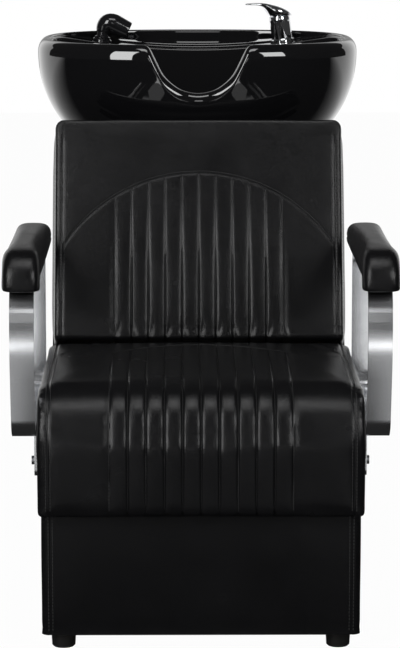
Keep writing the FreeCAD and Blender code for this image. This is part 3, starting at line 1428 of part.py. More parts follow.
def make_nodes():
    """Every piece of the unit under its name."""
    right_panel = make_side_panel()
    right_loop = make_arm_loop()
    right_pad = make_arm_pad()
    pad_board = make_pad_board()
    nodes = {
        "side_panel_left": mirrored(right_panel),
        "side_panel_right": right_panel,
        "front_board": make_front_board(),
        "base_floor": make_base_floor(),
        "seat_deck": make_seat_deck(),
        "back_rail_lower": make_back_rail(BACK_BOLT_LENGTHS[0]),
        "back_rail_upper": make_back_rail(BACK_BOLT_LENGTHS[1]),
        "bowl_deck": make_bowl_deck(),
        "rear_panel": make_rear_panel(),
        "panel_cleats": make_panel_cleats(),
        "base_cover": make_base_cover(),
        "wood_screws": make_wood_screws(),
        "cushion_bolts": make_cushion_bolts(),
        "tee_nuts": make_tee_nuts(),
        "seat_board": make_seat_board(),
        "seat_apron": make_seat_apron(),
        "seat_cushion": make_seat_cushion(),
        "back_board": make_back_board(),
        "back_cushion": make_back_cushion(),
        "arm_loop_left": mirrored(right_loop),
        "arm_loop_right": right_loop,
        "arm_pad_left": mirrored(right_pad),
        "arm_pad_right": right_pad,
        "arm_pad_boards": group([pad_board, mirrored(pad_board)]),
        "arm_spacers": make_arm_spacers(),
        "arm_bolts": make_arm_bolts(),
        "tilt_base": make_tilt_base(),
        "tilt_bolts": make_tilt_bolts(),
        "tilt_nuts": make_tilt_nuts(),
        "pivot_bolts": make_pivot_bolts(),
        "tilt_cradle": make_tilt_cradle(),
        "cradle_pad": make_cradle_pad(),
        "bowl": make_bowl(),
        "drain_flange": make_drain_flange(),
        "drain_gasket": make_drain_gasket(),
        "drain_nut": make_drain_nut(),
        "drain_tail": make_drain_tail(),
        "tail_nut": make_tail_nut(),
        "hair_strainer": make_hair_strainer(),
        "tap_gasket": make_tap_gasket(),
        "tap_body": make_tap_body(),
        "tap_shank_nut": make_tap_shank_nut(),
        "tap_cartridge": make_tap_cartridge(),
        "tap_bonnet": make_tap_bonnet(),
        "tap_stem": make_tap_stem(),
        "lever_pin": make_lever_pin(),
        "tap_handle": make_tap_handle(),
        "shower_holder": make_shower_holder(),
        "shower_holder_nut": make_shower_holder_nut(),
        "shower_handle": make_shower_handle(),
        "shower_head": make_shower_head(),
        "shower_face": make_shower_face(),
        "hose_connector": make_hose_connector(),
    }
    foot_names = ("foot_front_left", "foot_front_right", "foot_rear_left", "foot_rear_right")
    for name, place in zip(foot_names, foot_places()):
        nodes[name] = make_foot(place)
    return nodes


def main():
    os.makedirs("parts", exist_ok=True)
    for name, shape in make_nodes().items():
        shape.exportStep("parts/" + name + ".step")


main()
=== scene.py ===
"""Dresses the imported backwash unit: leather cushions and cover, glazed bowl, chrome and studio."""

import json
import math

import bmesh
import bpy
from mathutils import Matrix, Vector
from mathutils.bvhtree import BVHTree


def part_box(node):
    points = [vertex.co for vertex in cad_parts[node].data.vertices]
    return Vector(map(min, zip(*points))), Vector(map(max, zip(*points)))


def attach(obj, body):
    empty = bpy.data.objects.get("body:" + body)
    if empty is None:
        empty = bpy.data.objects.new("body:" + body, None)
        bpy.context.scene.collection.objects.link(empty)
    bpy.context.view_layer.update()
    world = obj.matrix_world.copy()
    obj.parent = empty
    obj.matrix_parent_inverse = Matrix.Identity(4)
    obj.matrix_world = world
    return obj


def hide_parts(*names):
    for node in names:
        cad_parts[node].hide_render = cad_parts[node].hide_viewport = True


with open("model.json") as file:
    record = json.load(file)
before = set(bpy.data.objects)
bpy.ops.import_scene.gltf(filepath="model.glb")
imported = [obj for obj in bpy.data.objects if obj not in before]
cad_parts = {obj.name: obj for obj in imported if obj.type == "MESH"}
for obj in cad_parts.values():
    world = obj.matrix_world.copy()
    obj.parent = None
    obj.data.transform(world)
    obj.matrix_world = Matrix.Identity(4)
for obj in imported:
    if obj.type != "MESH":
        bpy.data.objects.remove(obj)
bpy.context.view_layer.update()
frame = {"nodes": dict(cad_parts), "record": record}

bl_info = {
    "name": "Backwash Unit Dresser",
    "version": (1, 0, 0),
    "blender": (4, 5, 0),
    "location": "3D View > Sidebar > Backwash",
    "description": "Upholstery, glaze, chrome and studio for a salon backwash unit",
    "category": "Object",
}

MM = 0.001
STAND = "stand"
BOWL_BODY = "bowl_unit"


# Sizes and colours that a user would change
def length_setting(name, description, default):
    return bpy.props.FloatProperty(name=name, description=description, default=default, unit="LENGTH")


def vector_setting(name, description, default, subtype):
    return bpy.props.FloatVectorProperty(
        name=name, description=description, default=default, size=3, subtype=subtype)


class CushionSettings(bpy.types.PropertyGroup):
    seat_grid: length_setting("Seat grid", "Grid of the seat's cloth", 6 * MM)
    back_grid: length_setting("Back grid", "Grid of the back's cloth", 5 * MM)
    rest_grid: length_setting("Rest grid", "Grid of the arm rests' cloth", 3.5 * MM)
    pressure: bpy.props.FloatProperty(
        name="Pressure", description="How hard the stuffing presses on the leather", default=4.0)
    channel_pitch: length_setting("Channel pitch", "Distance between the sewn channels", 28.7 * MM)
    channel_count: bpy.props.IntProperty(
        name="Channels", description="Number of sewn lines on the seat and the back", default=11)
    channel_depth: length_setting("Channel depth", "How deep a sewn line draws the leather in", 1.8 * MM)
    rib_rise: length_setting("Rib rise", "How far the padding swells between two lines", 0.5 * MM)
    seam_inset: length_setting("Side seam", "Side seam in from the cushion's side", 17 * MM)
    recline: bpy.props.FloatProperty(
        name="Recline", description="Lean of the back from upright", subtype="ANGLE",
        default=math.radians(20))
    back_foot: vector_setting(
        "Back foot", "Lower front edge of the back cushion", (0.0, -90 * MM, 428 * MM), "XYZ")
    stitch_step: length_setting("Stitch step", "From one stitch to the next", 5.5 * MM)


class FinishSettings(bpy.types.PropertyGroup):
    leather: vector_setting("Leather", "Colour of the leather", (0.0038, 0.0038, 0.0042), "COLOR")
    thread: vector_setting("Thread", "Colour of the sewing thread", (0.02, 0.02, 0.02), "COLOR")
    glaze: vector_setting("Glaze", "Colour of the bowl's glaze", (0.004, 0.004, 0.0045), "COLOR")
    chrome: vector_setting("Chrome", "Colour of the plated metal", (0.78, 0.79, 0.81), "COLOR")
    plywood: vector_setting("Plywood", "Colour of the boards", (0.50, 0.35, 0.19), "COLOR")


class StageSettings(bpy.types.PropertyGroup):
    camera_place: vector_setting("Camera", "Where the camera stands", (-0.038, -4.945, 1.25), "XYZ")
    camera_aim: vector_setting("Aim", "What the camera looks at", (0.0, -0.295, 0.489), "XYZ")
    lens: bpy.props.FloatProperty(
        name="Lens", description="Focal length in millimetres on a 36 mm high picture", default=161.1)


def cushion_settings():
    return bpy.context.scene.backwash_cushion


def finish_settings():
    return bpy.context.scene.backwash_finish


# Hand tools
def leave_edit():
    bpy.ops.object.mode_set(mode="OBJECT")


def select_all():
    bpy.ops.mesh.select_all(action="SELECT")


def select_none():
    bpy.ops.mesh.select_all(action="DESELECT")


def box_of(cad_node):
    """Both corners of a CAD node's box."""
    return [Vector(corner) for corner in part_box(cad_node)]


def deselect():
    if bpy.context.mode != "OBJECT":
        leave_edit()
    bpy.ops.object.select_all(action="DESELECT")


def only(piece):
    """Makes one piece the only selected and active one."""
    deselect()
    piece.select_set(True)
    bpy.context.view_layer.objects.active = piece


def block(name, low, high):
    """A box between two corners, as a start for a piece."""
    deselect()
    bpy.ops.mesh.primitive_cube_add(size=1.0)
    piece = bpy.context.object
    piece.name = name
    piece.data.name = name
    low = Vector(low)
    high = Vector(high)
    for vertex in piece.data.vertices:
        vertex.co = Vector(low[i] + (high[i] - low[i]) * (vertex.co[i] + 0.5) for i in range(3))
    return piece


def edit(piece, kind):
    """Opens a piece for editing, with vertices, edges or faces to pick."""
    only(piece)
    bpy.ops.object.mode_set(mode="EDIT")
    bpy.context.tool_settings.mesh_select_mode = (kind == "VERT", kind == "EDGE", kind == "FACE")


def middle(item):
    return sum((vertex.co for vertex in item.verts), Vector()) / len(item.verts)


def pick(piece, kind, test):
    """Picks the edges or faces that pass a test of their middle and themselves."""
    edit(piece, kind)
    select_none()
    mesh = bmesh.from_edit_mesh(piece.data)
    mesh.normal_update()
    items = mesh.edges if kind == "EDGE" else mesh.faces
    for item in items:
        if test(middle(item), item):
            item.select_set(True)
    mesh.select_flush_mode()
    bmesh.update_edit_mesh(piece.data)


def pull(piece, test, move):
    """Extrudes the picked faces by a move."""
    pick(piece, "FACE", test)
    bpy.ops.mesh.extrude_region_move(TRANSFORM_OT_translate={"value": move})
    leave_edit()


def round_edges(piece, test, radius, segments):
    """Rounds the picked edges."""
    pick(piece, "EDGE", test)
    bpy.ops.mesh.bevel(offset=radius, segments=segments, profile=0.5, affect="EDGES", clamp_overlap=True)
    leave_edit()


def score(piece, places, axis):
    """Cuts a piece along planes across an axis, so that it has points just there."""
    edit(piece, "FACE")
    normal = [0, 0, 0]
    normal[axis] = 1
    for place in places:
        point = [0, 0, 0]
        point[axis] = place
        select_all()
        bpy.ops.mesh.bisect(plane_co=point, plane_no=normal)
    select_all()
    bpy.ops.mesh.remove_doubles(threshold=0.7 * MM)
    leave_edit()


def carve(piece, cutter):
    """Takes the room of a cutter out of a piece and drops the cutter."""
    modifier = piece.modifiers.new("carve", "BOOLEAN")
    modifier.operation = "DIFFERENCE"
    modifier.object = cutter
    modifier.solver = "EXACT"
    apply_all(piece)
    bpy.data.objects.remove(cutter, do_unlink=True)


def near(value, target):
    return abs(value - target) < 0.5 * MM


def apply_all(piece):
    only(piece)
    for modifier in list(piece.modifiers):
        bpy.ops.object.modifier_apply(modifier=modifier.name)


def smooth(piece, degrees):
    only(piece)
    bpy.ops.object.shade_smooth_by_angle(angle=math.radians(degrees))


def remesh(piece, voxel):
    only(piece)
    piece.data.remesh_voxel_size = voxel
    piece.data.remesh_voxel_adaptivity = 0.0
    bpy.ops.object.voxel_remesh()


def soften(piece, repeat):
    modifier = piece.modifiers.new("soften", "SMOOTH")
    modifier.factor = 0.5
    modifier.iterations = repeat
    apply_all(piece)


def refine(piece, levels):
    modifier = piece.modifiers.new("refine", "SUBSURF")
    modifier.levels = levels
    modifier.render_levels = levels
    apply_all(piece)


def fit(piece, low, high):
    """Stretches a piece to fill a box."""
    points = [vertex.co for vertex in piece.data.vertices]
    for axis in range(3):
        start = min(point[axis] for point in points)
        end = max(point[axis] for point in points)
        scale = (high[axis] - low[axis]) / (end - start)
        for point in points:
            point[axis] = low[axis] + (point[axis] - start) * scale


def square_sides(piece, half, share):
    """Draws bulged sides out to a plane at the half width."""
    mesh = piece.data
    normals = [vertex.normal.copy() for vertex in mesh.vertices]
    for vertex, normal in zip(mesh.vertices, normals):
        facing = ramp(abs(normal.x), 0.3, 0.85) * share
        vertex.co.x += (math.copysign(half, vertex.co.x) - vertex.co.x) * facing
    mesh.update()


def loft(name, rings, closed=False):
    """A skin through rings of points: a circle that is extruded from ring to ring."""
    deselect()
    bpy.ops.mesh.primitive_circle_add(vertices=len(rings[0]), radius=1.0)
    piece = bpy.context.object
    piece.name = name
    piece.data.name = name
    for vertex, point in zip(piece.data.vertices, rings[0]):
        vertex.co = point
    edit(piece, "EDGE")
    select_all()
    columns = {index: index for index in range(len(rings[0]))}
    for ring in rings[1:]:
        bpy.ops.mesh.extrude_edges_move()
        mesh = bmesh.from_edit_mesh(piece.data)
        mesh.verts.index_update()
        fresh = {}
        for vertex in mesh.verts:
            if vertex.select:
                others = (edge.other_vert(vertex) for edge in vertex.link_edges)
                source = next(other for other in others if not other.select)
                fresh[vertex.index] = columns[source.index]
                vertex.co = ring[columns[source.index]]
        columns = fresh
        bmesh.update_edit_mesh(piece.data)
    select_all()
    if closed:
        bpy.ops.mesh.remove_doubles(threshold=0.02 * MM)
    else:
        select_none()
        bpy.ops.mesh.select_non_manifold()
        bpy.ops.mesh.fill_holes(sides=0)
        select_all()
    bpy.ops.mesh.normals_make_consistent(inside=False)
    leave_edit()
    return piece


CLOTH_FRAMES = 20
CLOTH_STIFFNESS = 20


def puff(piece, voxel, rests, cap):
    """Blows a cushion up as cloth. Points on a board stay, and no point moves further than the cap."""
    remesh(piece, voxel)
    soften(piece, 3)
    before = [vertex.co.copy() for vertex in piece.data.vertices]
    held = piece.vertex_groups.new(name="rests")
    held.add([i for i, co in enumerate(before) if rests(co)], 1.0, "REPLACE")
    only(piece)
    bpy.ops.object.modifier_add(type="CLOTH")
    cloth = piece.modifiers[-1].settings
    cloth.use_pressure = True
    cloth.uniform_pressure_force = cushion_settings().pressure
    cloth.effector_weights.gravity = 0.0
    cloth.vertex_group_mass = held.name
    cloth.tension_stiffness = CLOTH_STIFFNESS
    cloth.compression_stiffness = CLOTH_STIFFNESS
    cloth.bending_stiffness = 1.0
    cloth.quality = 6
    scene = bpy.context.scene
    for number in range(1, CLOTH_FRAMES + 1):
        scene.frame_set(number)
    apply_all(piece)
    scene.frame_set(1)
    for vertex, start in zip(piece.data.vertices, before):
        step = vertex.co - start
        if step.length > cap:
            vertex.co = start + step.normalized() * cap
    piece.vertex_groups.clear()
    soften(piece, 11)


def press(piece, depth_at):
    """Draws the surface in along its normals by a depth for each place."""
    mesh = piece.data
    normals = [vertex.normal.copy() for vertex in mesh.vertices]
    for vertex, normal in zip(mesh.vertices, normals):
        vertex.co -= normal * depth_at(vertex.co, normal)
    mesh.update()


def bell(distance, width):
    return math.exp(-((distance / width) ** 2))


def ramp(value, start, end):
    """From 0 at start to 1 at end, smoothly."""
    t = min(1.0, max(0.0, (value - start) / (end - start)))
    return t * t * (3 - 2 * t)


def channel_lines():
    settings = cushion_settings()
    first = -(settings.channel_count - 1) / 2
    return [(first + index) * settings.channel_pitch for index in range(settings.channel_count)]


VALLEY = 1.7 * MM       # depth and half width of the crease on a sewn line
OUTER_DIP = 7 * MM      # half width of the dip beyond the outermost line
SCORES = (-3.4 * MM, -1.5 * MM, 0.0, 1.5 * MM, 3.4 * MM)


def channel_depth(x):
    """How far the channels draw the leather in at x: round ribs between the lines, a dip outside them."""
    settings = cushion_settings()
    outermost = channel_lines()[-1]
    pitch = settings.channel_pitch
    line = round(x / pitch) * pitch
    away = abs(x - line)
    if abs(x) > outermost:
        return settings.channel_depth * bell(abs(x) - outermost, OUTER_DIP)
    across = 1 - 2 * away / pitch
    rib = 1 - math.sqrt(max(0.0, 1 - across * across))
    valley = VALLEY * bell(away, VALLEY)
    return (settings.channel_depth + settings.rib_rise) * rib - settings.rib_rise + valley


def beside(seam_x, gap):
    """Rows of stitches on both sides of the left and the right seam."""
    return (-seam_x - gap, -seam_x + gap, seam_x - gap, seam_x + gap)


def scored_lines(lines):
    """Cuts on a sewn line and on both sides of it, so that its valley stays crisp."""
    return [x + offset for x in lines for offset in SCORES]


# Sewing
STITCH_LENGTH = 3.6 * MM
THREAD_RADIUS = 0.55 * MM
STITCH_DIP = 0.5 * MM
STITCH_LIFT = 0.2 * MM


def stitch_template():
    """One stitch, a short thread that dips at both ends."""
    deselect()
    bpy.ops.mesh.primitive_cylinder_add(
        vertices=6, radius=THREAD_RADIUS, depth=STITCH_LENGTH, rotation=(0, math.pi / 2, 0))
    piece = bpy.context.object
    bpy.ops.object.transform_apply(location=True, rotation=True, scale=True)
    edit(piece, "FACE")
    select_all()
    bpy.ops.mesh.subdivide(number_cuts=1)
    leave_edit()
    for vertex in piece.data.vertices:
        share = 2 * abs(vertex.co.x) / STITCH_LENGTH
        vertex.co.z -= STITCH_DIP * share * share
    points = [vertex.co.copy() for vertex in piece.data.vertices]
    faces = [tuple(polygon.vertices) for polygon in piece.data.polygons]
    bpy.data.objects.remove(piece, do_unlink=True)
    return points, faces


def surface_of(piece):
    mesh = bmesh.new()
    mesh.from_mesh(piece.data)
    tree = BVHTree.FromBMesh(mesh)
    mesh.free()
    return tree


def trace(tree, path, direction, reach=0.2):
    """Points where a path, thrown along a direction, meets a surface, each with its normal."""
    found = []
    for point in path:
        aim = Vector(direction)
        hit, normal, _, _ = tree.ray_cast(Vector(point) - aim * reach, aim, 2 * reach)
        if hit is not None:
            found.append((hit, normal))
    return found


def spaced(points, step):
    """Places at even steps along a chain of (point, normal), each with its heading."""
    out = []
    due = step / 2
    for (a, normal_a), (b, normal_b) in zip(points, points[1:]):
        run = b - a
        length = run.length
        if length == 0:
            continue
        while due < length:
            share = due / length
            out.append((a.lerp(b, share), normal_a.lerp(normal_b, share).normalized(), run.normalized()))
            due += step
        due -= length
    return out


def sew(name, chains):
    """Threads of stitches along chains of surface points, as one piece."""
    points, faces = stitch_template()
    all_points = []
    all_faces = []
    for chain in chains:
        for place, normal, heading in spaced(chain, cushion_settings().stitch_step):
            side = normal.cross(heading).normalized()
            up = heading.cross(side).normalized()
            turn = Matrix((heading, side, up)).transposed()
            start = len(all_points)
            for point in points:
                all_points.append(place + turn @ point + normal * STITCH_LIFT)
            all_faces += [tuple(index + start for index in face) for face in faces]
    mesh = bpy.data.meshes.new(name)
    mesh.from_pydata(all_points, [], all_faces)
    piece = bpy.data.objects.new(name, mesh)
    bpy.context.collection.objects.link(piece)
    smooth(piece, 60)
    dress(piece, "thread")
    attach(piece, STAND)


# Finishes
def feed(tree, made, values):
    """Sets a node's inputs, or links those whose value is another node's output."""
    for key, value in values.items():
        if hasattr(value, "is_output"):
            tree.links.new(value, made.inputs[key])
        else:
            made.inputs[key].default_value = value


def node(tree, kind, values=None, **traits):
    """A new node with its traits and then its inputs."""
    made = tree.nodes.new(kind)
    for key, value in traits.items():
        setattr(made, key, value)
    feed(tree, made, values or {})
    return made


def math_node(tree, operation, a, b):
    return node(tree, "ShaderNodeMath", {0: a, 1: b}, operation=operation).outputs[0]


def map_range(tree, value, from_min, from_max, to_min=0.0, to_max=1.0):
    return node(tree, "ShaderNodeMapRange", {
        "Value": value, "From Min": from_min, "From Max": from_max, "To Min": to_min, "To Max": to_max,
    }).outputs["Result"]


def relief(tree, height, distance, strength):
    return node(tree, "ShaderNodeBump", {
        "Height": height, "Distance": distance, "Strength": strength}).outputs["Normal"]


def vary(tree, mask, colour, low, high):
    """A colour that wavers by a mask, between two shares of itself."""
    shades = [(*(min(1.0, channel * share) for channel in colour), 1) for share in (low, high)]
    return node(tree, "ShaderNodeMix", {0: mask, 6: shades[0], 7: shades[1]}, data_type="RGBA").outputs[2]


def new_group(name, inputs, outputs):
    """A node group with a place and values going in and values coming out."""
    group = bpy.data.node_groups.new(name, "ShaderNodeTree")
    group.interface.new_socket(name="Vector", in_out="INPUT", socket_type="NodeSocketVector")
    for label, value in inputs.items():
        socket = group.interface.new_socket(name=label, in_out="INPUT", socket_type="NodeSocketFloat")
        socket.default_value = value
    for label in outputs:
        group.interface.new_socket(name=label, in_out="OUTPUT", socket_type="NodeSocketFloat")
    return group, group.nodes.new("NodeGroupInput").outputs, group.nodes.new("NodeGroupOutput")


def grain_group():
    """Pebbled grain with soft, wide unevenness: a height for bump and a mask for colour and gloss."""
    group, inlet, outlet = new_group("pebble_grain", {"Scale": 500.0, "Unevenness": 0.5}, ("Height", "Mask"))
    pebbles = node(
        group, "ShaderNodeTexVoronoi", {"Vector": inlet["Vector"], "Scale": inlet["Scale"]},
        feature="DISTANCE_TO_EDGE")
    wide = node(group, "ShaderNodeTexNoise", {
        "Vector": inlet["Vector"], "Scale": 9.0, "Detail": 3.0, "Roughness": 0.6}).outputs["Fac"]
    valley = map_range(group, pebbles.outputs["Distance"], 0.0, 0.25)
    swell = math_node(group, "MULTIPLY", wide, inlet["Unevenness"])
    feed(group, outlet, {"Height": math_node(group, "ADD", valley, swell), "Mask": wide})
    return group


def smudge_group():
    """Faint clouding of a polished surface, for its gloss. It is built once."""
    name = "polish_clouding"
    if name in bpy.data.node_groups:
        return bpy.data.node_groups[name]
    group, inlet, outlet = new_group(name, {"Scale": 20.0, "Low": 0.03, "High": 0.08}, ("Roughness", "Mask"))
    cloud = node(group, "ShaderNodeTexNoise", {
        "Vector": inlet["Vector"], "Scale": inlet["Scale"], "Detail": 4.0, "Roughness": 0.6}).outputs["Fac"]
    gloss = map_range(group, cloud, 0.35, 0.7, inlet["Low"], inlet["High"])
    feed(group, outlet, {"Roughness": gloss, "Mask": cloud})
    return group


def new_material(name):
    material = bpy.data.materials.new(name)
    material.use_nodes = True
    tree = material.node_tree
    place = tree.nodes.new("ShaderNodeTexCoord").outputs["Object"]
    return material, tree, tree.nodes["Principled BSDF"], place


def leather_finish(colour):
    material, tree, shader, place = new_material("black_leather")
    grain = node(
        tree, "ShaderNodeGroup", {"Vector": place, "Scale": 520.0, "Unevenness": 0.9},
        node_tree=grain_group()).outputs
    feed(tree, shader, {
        "Base Color": vary(tree, grain["Mask"], colour, 0.7, 1.4),
        "Roughness": map_range(tree, grain["Mask"], 0.3, 0.7, 0.20, 0.28),
        "Normal": relief(tree, grain["Height"], 0.09 * MM, 0.8),
        "Specular IOR Level": 0.27,
    })
    return material


def polished(name, colour, metallic, low, high, scale, coat=0.0):
    """Plated metal, glaze or gloss plastic with faint clouding."""
    material, tree, shader, place = new_material(name)
    cloud = node(
        tree, "ShaderNodeGroup", {"Vector": place, "Scale": scale, "Low": low, "High": high},
        node_tree=smudge_group()).outputs
    feed(tree, shader, {
        "Base Color": vary(tree, cloud["Mask"], colour, 0.94, 1.05),
        "Roughness": cloud["Roughness"],
        "Metallic": metallic,
        "Coat Weight": coat,
        "Coat Roughness": 0.02,
    })
    return material


def speckled(name, colour, shares, texture, depth, roughness, stretch=None):
    """A finish whose colour and relief follow one noise, which may be stretched."""
    material, tree, shader, place = new_material(name)
    if stretch:
        place = node(tree, "ShaderNodeMapping", {"Vector": place, "Scale": stretch}).outputs["Vector"]
    speck = node(tree, "ShaderNodeTexNoise", {"Vector": place, **texture}).outputs["Fac"]
    feed(tree, shader, {
        "Base Color": vary(tree, speck, colour, *shares),
        "Roughness": roughness,
        "Normal": relief(tree, speck, *depth),
    })
    return material


def moulded(name, colour, roughness):
    """Moulded plastic or rubber with a fine texture."""
    return speckled(name, colour, (0.8, 1.2), {"Scale": 1400.0, "Detail": 3.0}, (0.1 * MM, 0.5), roughness)


def plywood_finish(colour):
    fibre = {"Scale": 6.0, "Detail": 6.0, "Roughness": 0.65, "Distortion": 0.6}
    return speckled("birch_plywood", colour, (0.7, 1.3), fibre, (0.4 * MM, 0.6), 0.6, (30.0, 4.0, 30.0))


def thread_finish(colour):
    twist = {"Scale": 900.0, "Detail": 2.0}
    return speckled("sewing_thread", colour, (0.6, 1.6), twist, (0.2 * MM, 1.0), 0.55)


def laminate_finish(colour):
    speck = {"Scale": 700.0, "Detail": 4.0}
    return speckled("black_laminate", colour, (0.6, 1.2), speck, (0.2 * MM, 0.5), 0.5)


def make_finishes():
    finish = finish_settings()
    return {
        "leather": leather_finish(finish.leather),
        "thread": thread_finish(finish.thread),
        "ceramic": polished("black_glaze", finish.glaze, 0.0, 0.02, 0.05, 14.0, 0.6),
        "chrome": polished("polished_chrome", finish.chrome, 1.0, 0.04, 0.10, 18.0),
        "lining": moulded("black_lining", (0.006, 0.006, 0.006), 0.8),
        "satin": polished("satin_chrome", finish.chrome, 1.0, 0.17, 0.22, 12.0),
        "steel": polished("zinc_plate", (0.52, 0.53, 0.55), 1.0, 0.25, 0.42, 60.0),
        "brass": polished("machined_brass", (0.63, 0.44, 0.17), 1.0, 0.18, 0.34, 50.0),
        "shower_plastic": polished("black_gloss_plastic", (0.008, 0.008, 0.009), 0.0, 0.08, 0.16, 40.0, 0.2),
        "face_plastic": moulded("spray_face", (0.18, 0.18, 0.19), 0.4),
        "foot_plastic": moulded("black_foot", (0.012, 0.012, 0.012), 0.42),
        "drain_plastic": moulded("grey_drain", (0.55, 0.55, 0.55), 0.4),
        "rubber": moulded("black_rubber", (0.015, 0.015, 0.015), 0.75),
        "plywood": plywood_finish(finish.plywood),
        "black_board": laminate_finish((0.02, 0.02, 0.02)),
    }


FINISHES = {}


def dress(piece, slot):
    """Gives a piece one finish all over."""
    piece.data.materials.clear()
    piece.data.materials.append(FINISHES[slot])


def stand_in(piece, cad_node, slot, body):
    """Shows a dressed piece for a CAD node, with its slot and on its body."""
    dress(piece, slot)
    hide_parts(cad_node)
    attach(piece, body)


def finish_soft(piece, cad_node):
    """Evens out the shading of a cushion and shows it for its CAD node."""
    smooth(piece, 60)
    even = piece.modifiers.new("even", "WEIGHTED_NORMAL")
    even.keep_sharp = True
    apply_all(piece)
    dress(piece, "leather")
    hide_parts(cad_node)
    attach(piece, STAND)


LINED = (
    "seat_board", "seat_apron", "back_board", "arm_pad_boards", "seat_deck",
    "back_rail_lower", "back_rail_upper", "side_panel_left", "side_panel_right",
)


class BACKWASH_OT_finishes(bpy.types.Operator):
    """Gives each CAD piece its finish"""
    bl_idname = "backwash.finishes"
    bl_label = "Finishes"

    def execute(self, context):
        FINISHES.update(make_finishes())
        for entry in frame["record"]["subparts"]:
            name = entry["node"]
            slot = entry["material_slot"]
            if name.startswith("arm_loop"):
                slot = "satin"
            if name in LINED:
                slot = "lining"
            dress(frame["nodes"][name], slot)
        return {"FINISHED"}


# Seat
SEAT_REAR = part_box("seat_cushion")[1][1]
SEAT_ARCH_INSET = 82 * MM    # middle of the arched seam, ahead of the rear
SEAT_ARCH_SAG = 66 * MM      # how far the seam runs ahead towards its ends
SEAT_ARCH_HALF = 143.5 * MM
BOARD_GAP = 0.4 * MM
REST_REACH = 3 * MM          # points this near to a board rest on it
CHANNEL_MARGIN = 12 * MM     # channels fade out this far beyond the outermost line
SEAM_WIDTH = 2.0 * MM
SEAM_GAP = 3.5 * MM          # rows of stitches beside a seam
ARCH_FADE = 10 * MM          # channels fade out over this length before the arch


def seat_arch(x):
    """Where the arched seam of the seat lies, in depth."""
    return SEAT_REAR - SEAT_ARCH_INSET - SEAT_ARCH_SAG * (x / SEAT_ARCH_HALF) ** 2


class BACKWASH_OT_seat(bpy.types.Operator):
    """Makes the seat cushion with its rolled front and sewn channels"""
    bl_idname = "backwash.seat"
    bl_label = "Seat cushion"
    slack = 1.5 * MM
    front_radius = 80 * MM
    rear_radius = 20 * MM
    side_radius = 15 * MM
    crown = 5 * MM
    bulge = 3 * MM
    puff_cap = 4 * MM

    def execute(self, context):
        settings = cushion_settings()
        low, high = box_of("seat_cushion")
        board_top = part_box("seat_board")[1][2] + BOARD_GAP
        apron_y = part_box("seat_apron")[0][1] - BOARD_GAP
        half = high.x - self.slack
        top = high.z - self.slack
        rear = high.y - self.slack
        front = low.y + self.slack
        piece = block("seat_pad", (-half, front, board_top), (half, rear, top))
        round_edges(piece, lambda at, edge: near(at.y, front) and near(at.z, top), self.front_radius, 14)
        round_edges(piece, lambda at, edge: near(at.y, rear) and near(at.z, top), self.rear_radius, 6)
        score(piece, [apron_y], 1)
        pull(piece, lambda at, face: face.normal.z < -0.9 and at.y < apron_y, (0, 0, low.z - board_top))

        def on_side(at, edge):
            outer = all(near(abs(v.co.x), half) for v in edge.verts)
            inner = near(at.z, board_top) or near(at.y, apron_y) or near(at.z, low.z)
            return outer and not inner

        def rests(co):
            return co.z < board_top + REST_REACH and co.y > apron_y - REST_REACH

        round_edges(piece, on_side, self.side_radius, 5)
        puff(piece, settings.seat_grid, rests, self.puff_cap)
        for vertex in piece.data.vertices:
            co = vertex.co
            share = max(0.0, (co.z - board_top) / (top - board_top))
            co.z -= self.crown * (co.x / half) ** 2 * share
        wide = half + self.bulge
        fit(piece, (-wide, low.y - 1 * MM, low.z), (wide, high.y, high.z + 1 * MM))
        square_sides(piece, wide, 0.5)
        soften(piece, 2)
        refine(piece, 1)
        seam_x = half - settings.seam_inset
        lines = channel_lines()
        score(piece, scored_lines(lines + [-seam_x, seam_x]), 0)

        def depth(co, normal):
            outside = co.z > board_top + 6 * MM or co.y < apron_y - 8 * MM
            if not outside or (normal.y > 0.5 and normal.z < 0.5):
                return 0.0
            arch = seat_arch(co.x)
            sewn = 1 - ramp(co.y, arch - ARCH_FADE, arch)
            inner = abs(co.x) < lines[-1] + CHANNEL_MARGIN
            value = channel_depth(co.x) * sewn if inner else 0.0
            if abs(co.x) < lines[-1] + 2 * MM:
                value += 1.6 * MM * bell(co.y - arch, 2.4 * MM) * ramp(normal.z, 0.4, 0.8)
            seam = 1.2 * MM * bell(abs(co.x) - seam_x, SEAM_WIDTH)
            value += seam * (1 - ramp(co.y, high.y - 45 * MM, high.y - 20 * MM))
            value += creases(co)
            return value

        press(piece, depth)
        finish_soft(piece, "seat_cushion")
        tree = surface_of(piece)
        chains = [waterfall(tree, x, seat_arch(x), low, high) for x in lines]
        chains += [waterfall(tree, x, high.y - 26 * MM, low, high) for x in beside(seam_x, SEAM_GAP)]
        arch = [(x * MM, seat_arch(x * MM) + 3 * MM, high.z) for x in range(-143, 144, 4)]
        chains.append(trace(tree, arch, (0, 0, -1)))
        sew("seat_stitches", chains)
        return {"FINISHED"}


def waterfall(tree, x, rear, low, high):
    """A chain of surface points at x, from the rear of a line over the rolled front down to the lip."""
    roll = 90 * MM
    pace = 4 * MM
    centre = Vector((x, low.y + roll, high.z - roll))
    path = []
    steps = int((rear - centre.y) / pace)
    for index in range(steps + 1):
        path += trace(tree, [(x, rear - index * pace, high.z)], (0, 0, -1))
    for degrees in range(4, 90, 3):
        angle = math.radians(degrees)
        aim = Vector((0, -math.sin(angle), math.cos(angle)))
        path += trace(tree, [centre + aim * 0.1], -aim, 0.1)
    drop = centre.z
    while drop > low.z + 8 * MM:
        path += trace(tree, [(x, low.y, drop)], (0, 1, 0), 0.05)
        drop -= pace
    return path


CREASES = (
    (Vector((-0.245, -0.215, 0)), Vector((-0.185, -0.165, 0)), 2.0 * MM),
    (Vector((0.175, -0.125, 0)), Vector((0.246, -0.215, 0)), 2.6 * MM),
)


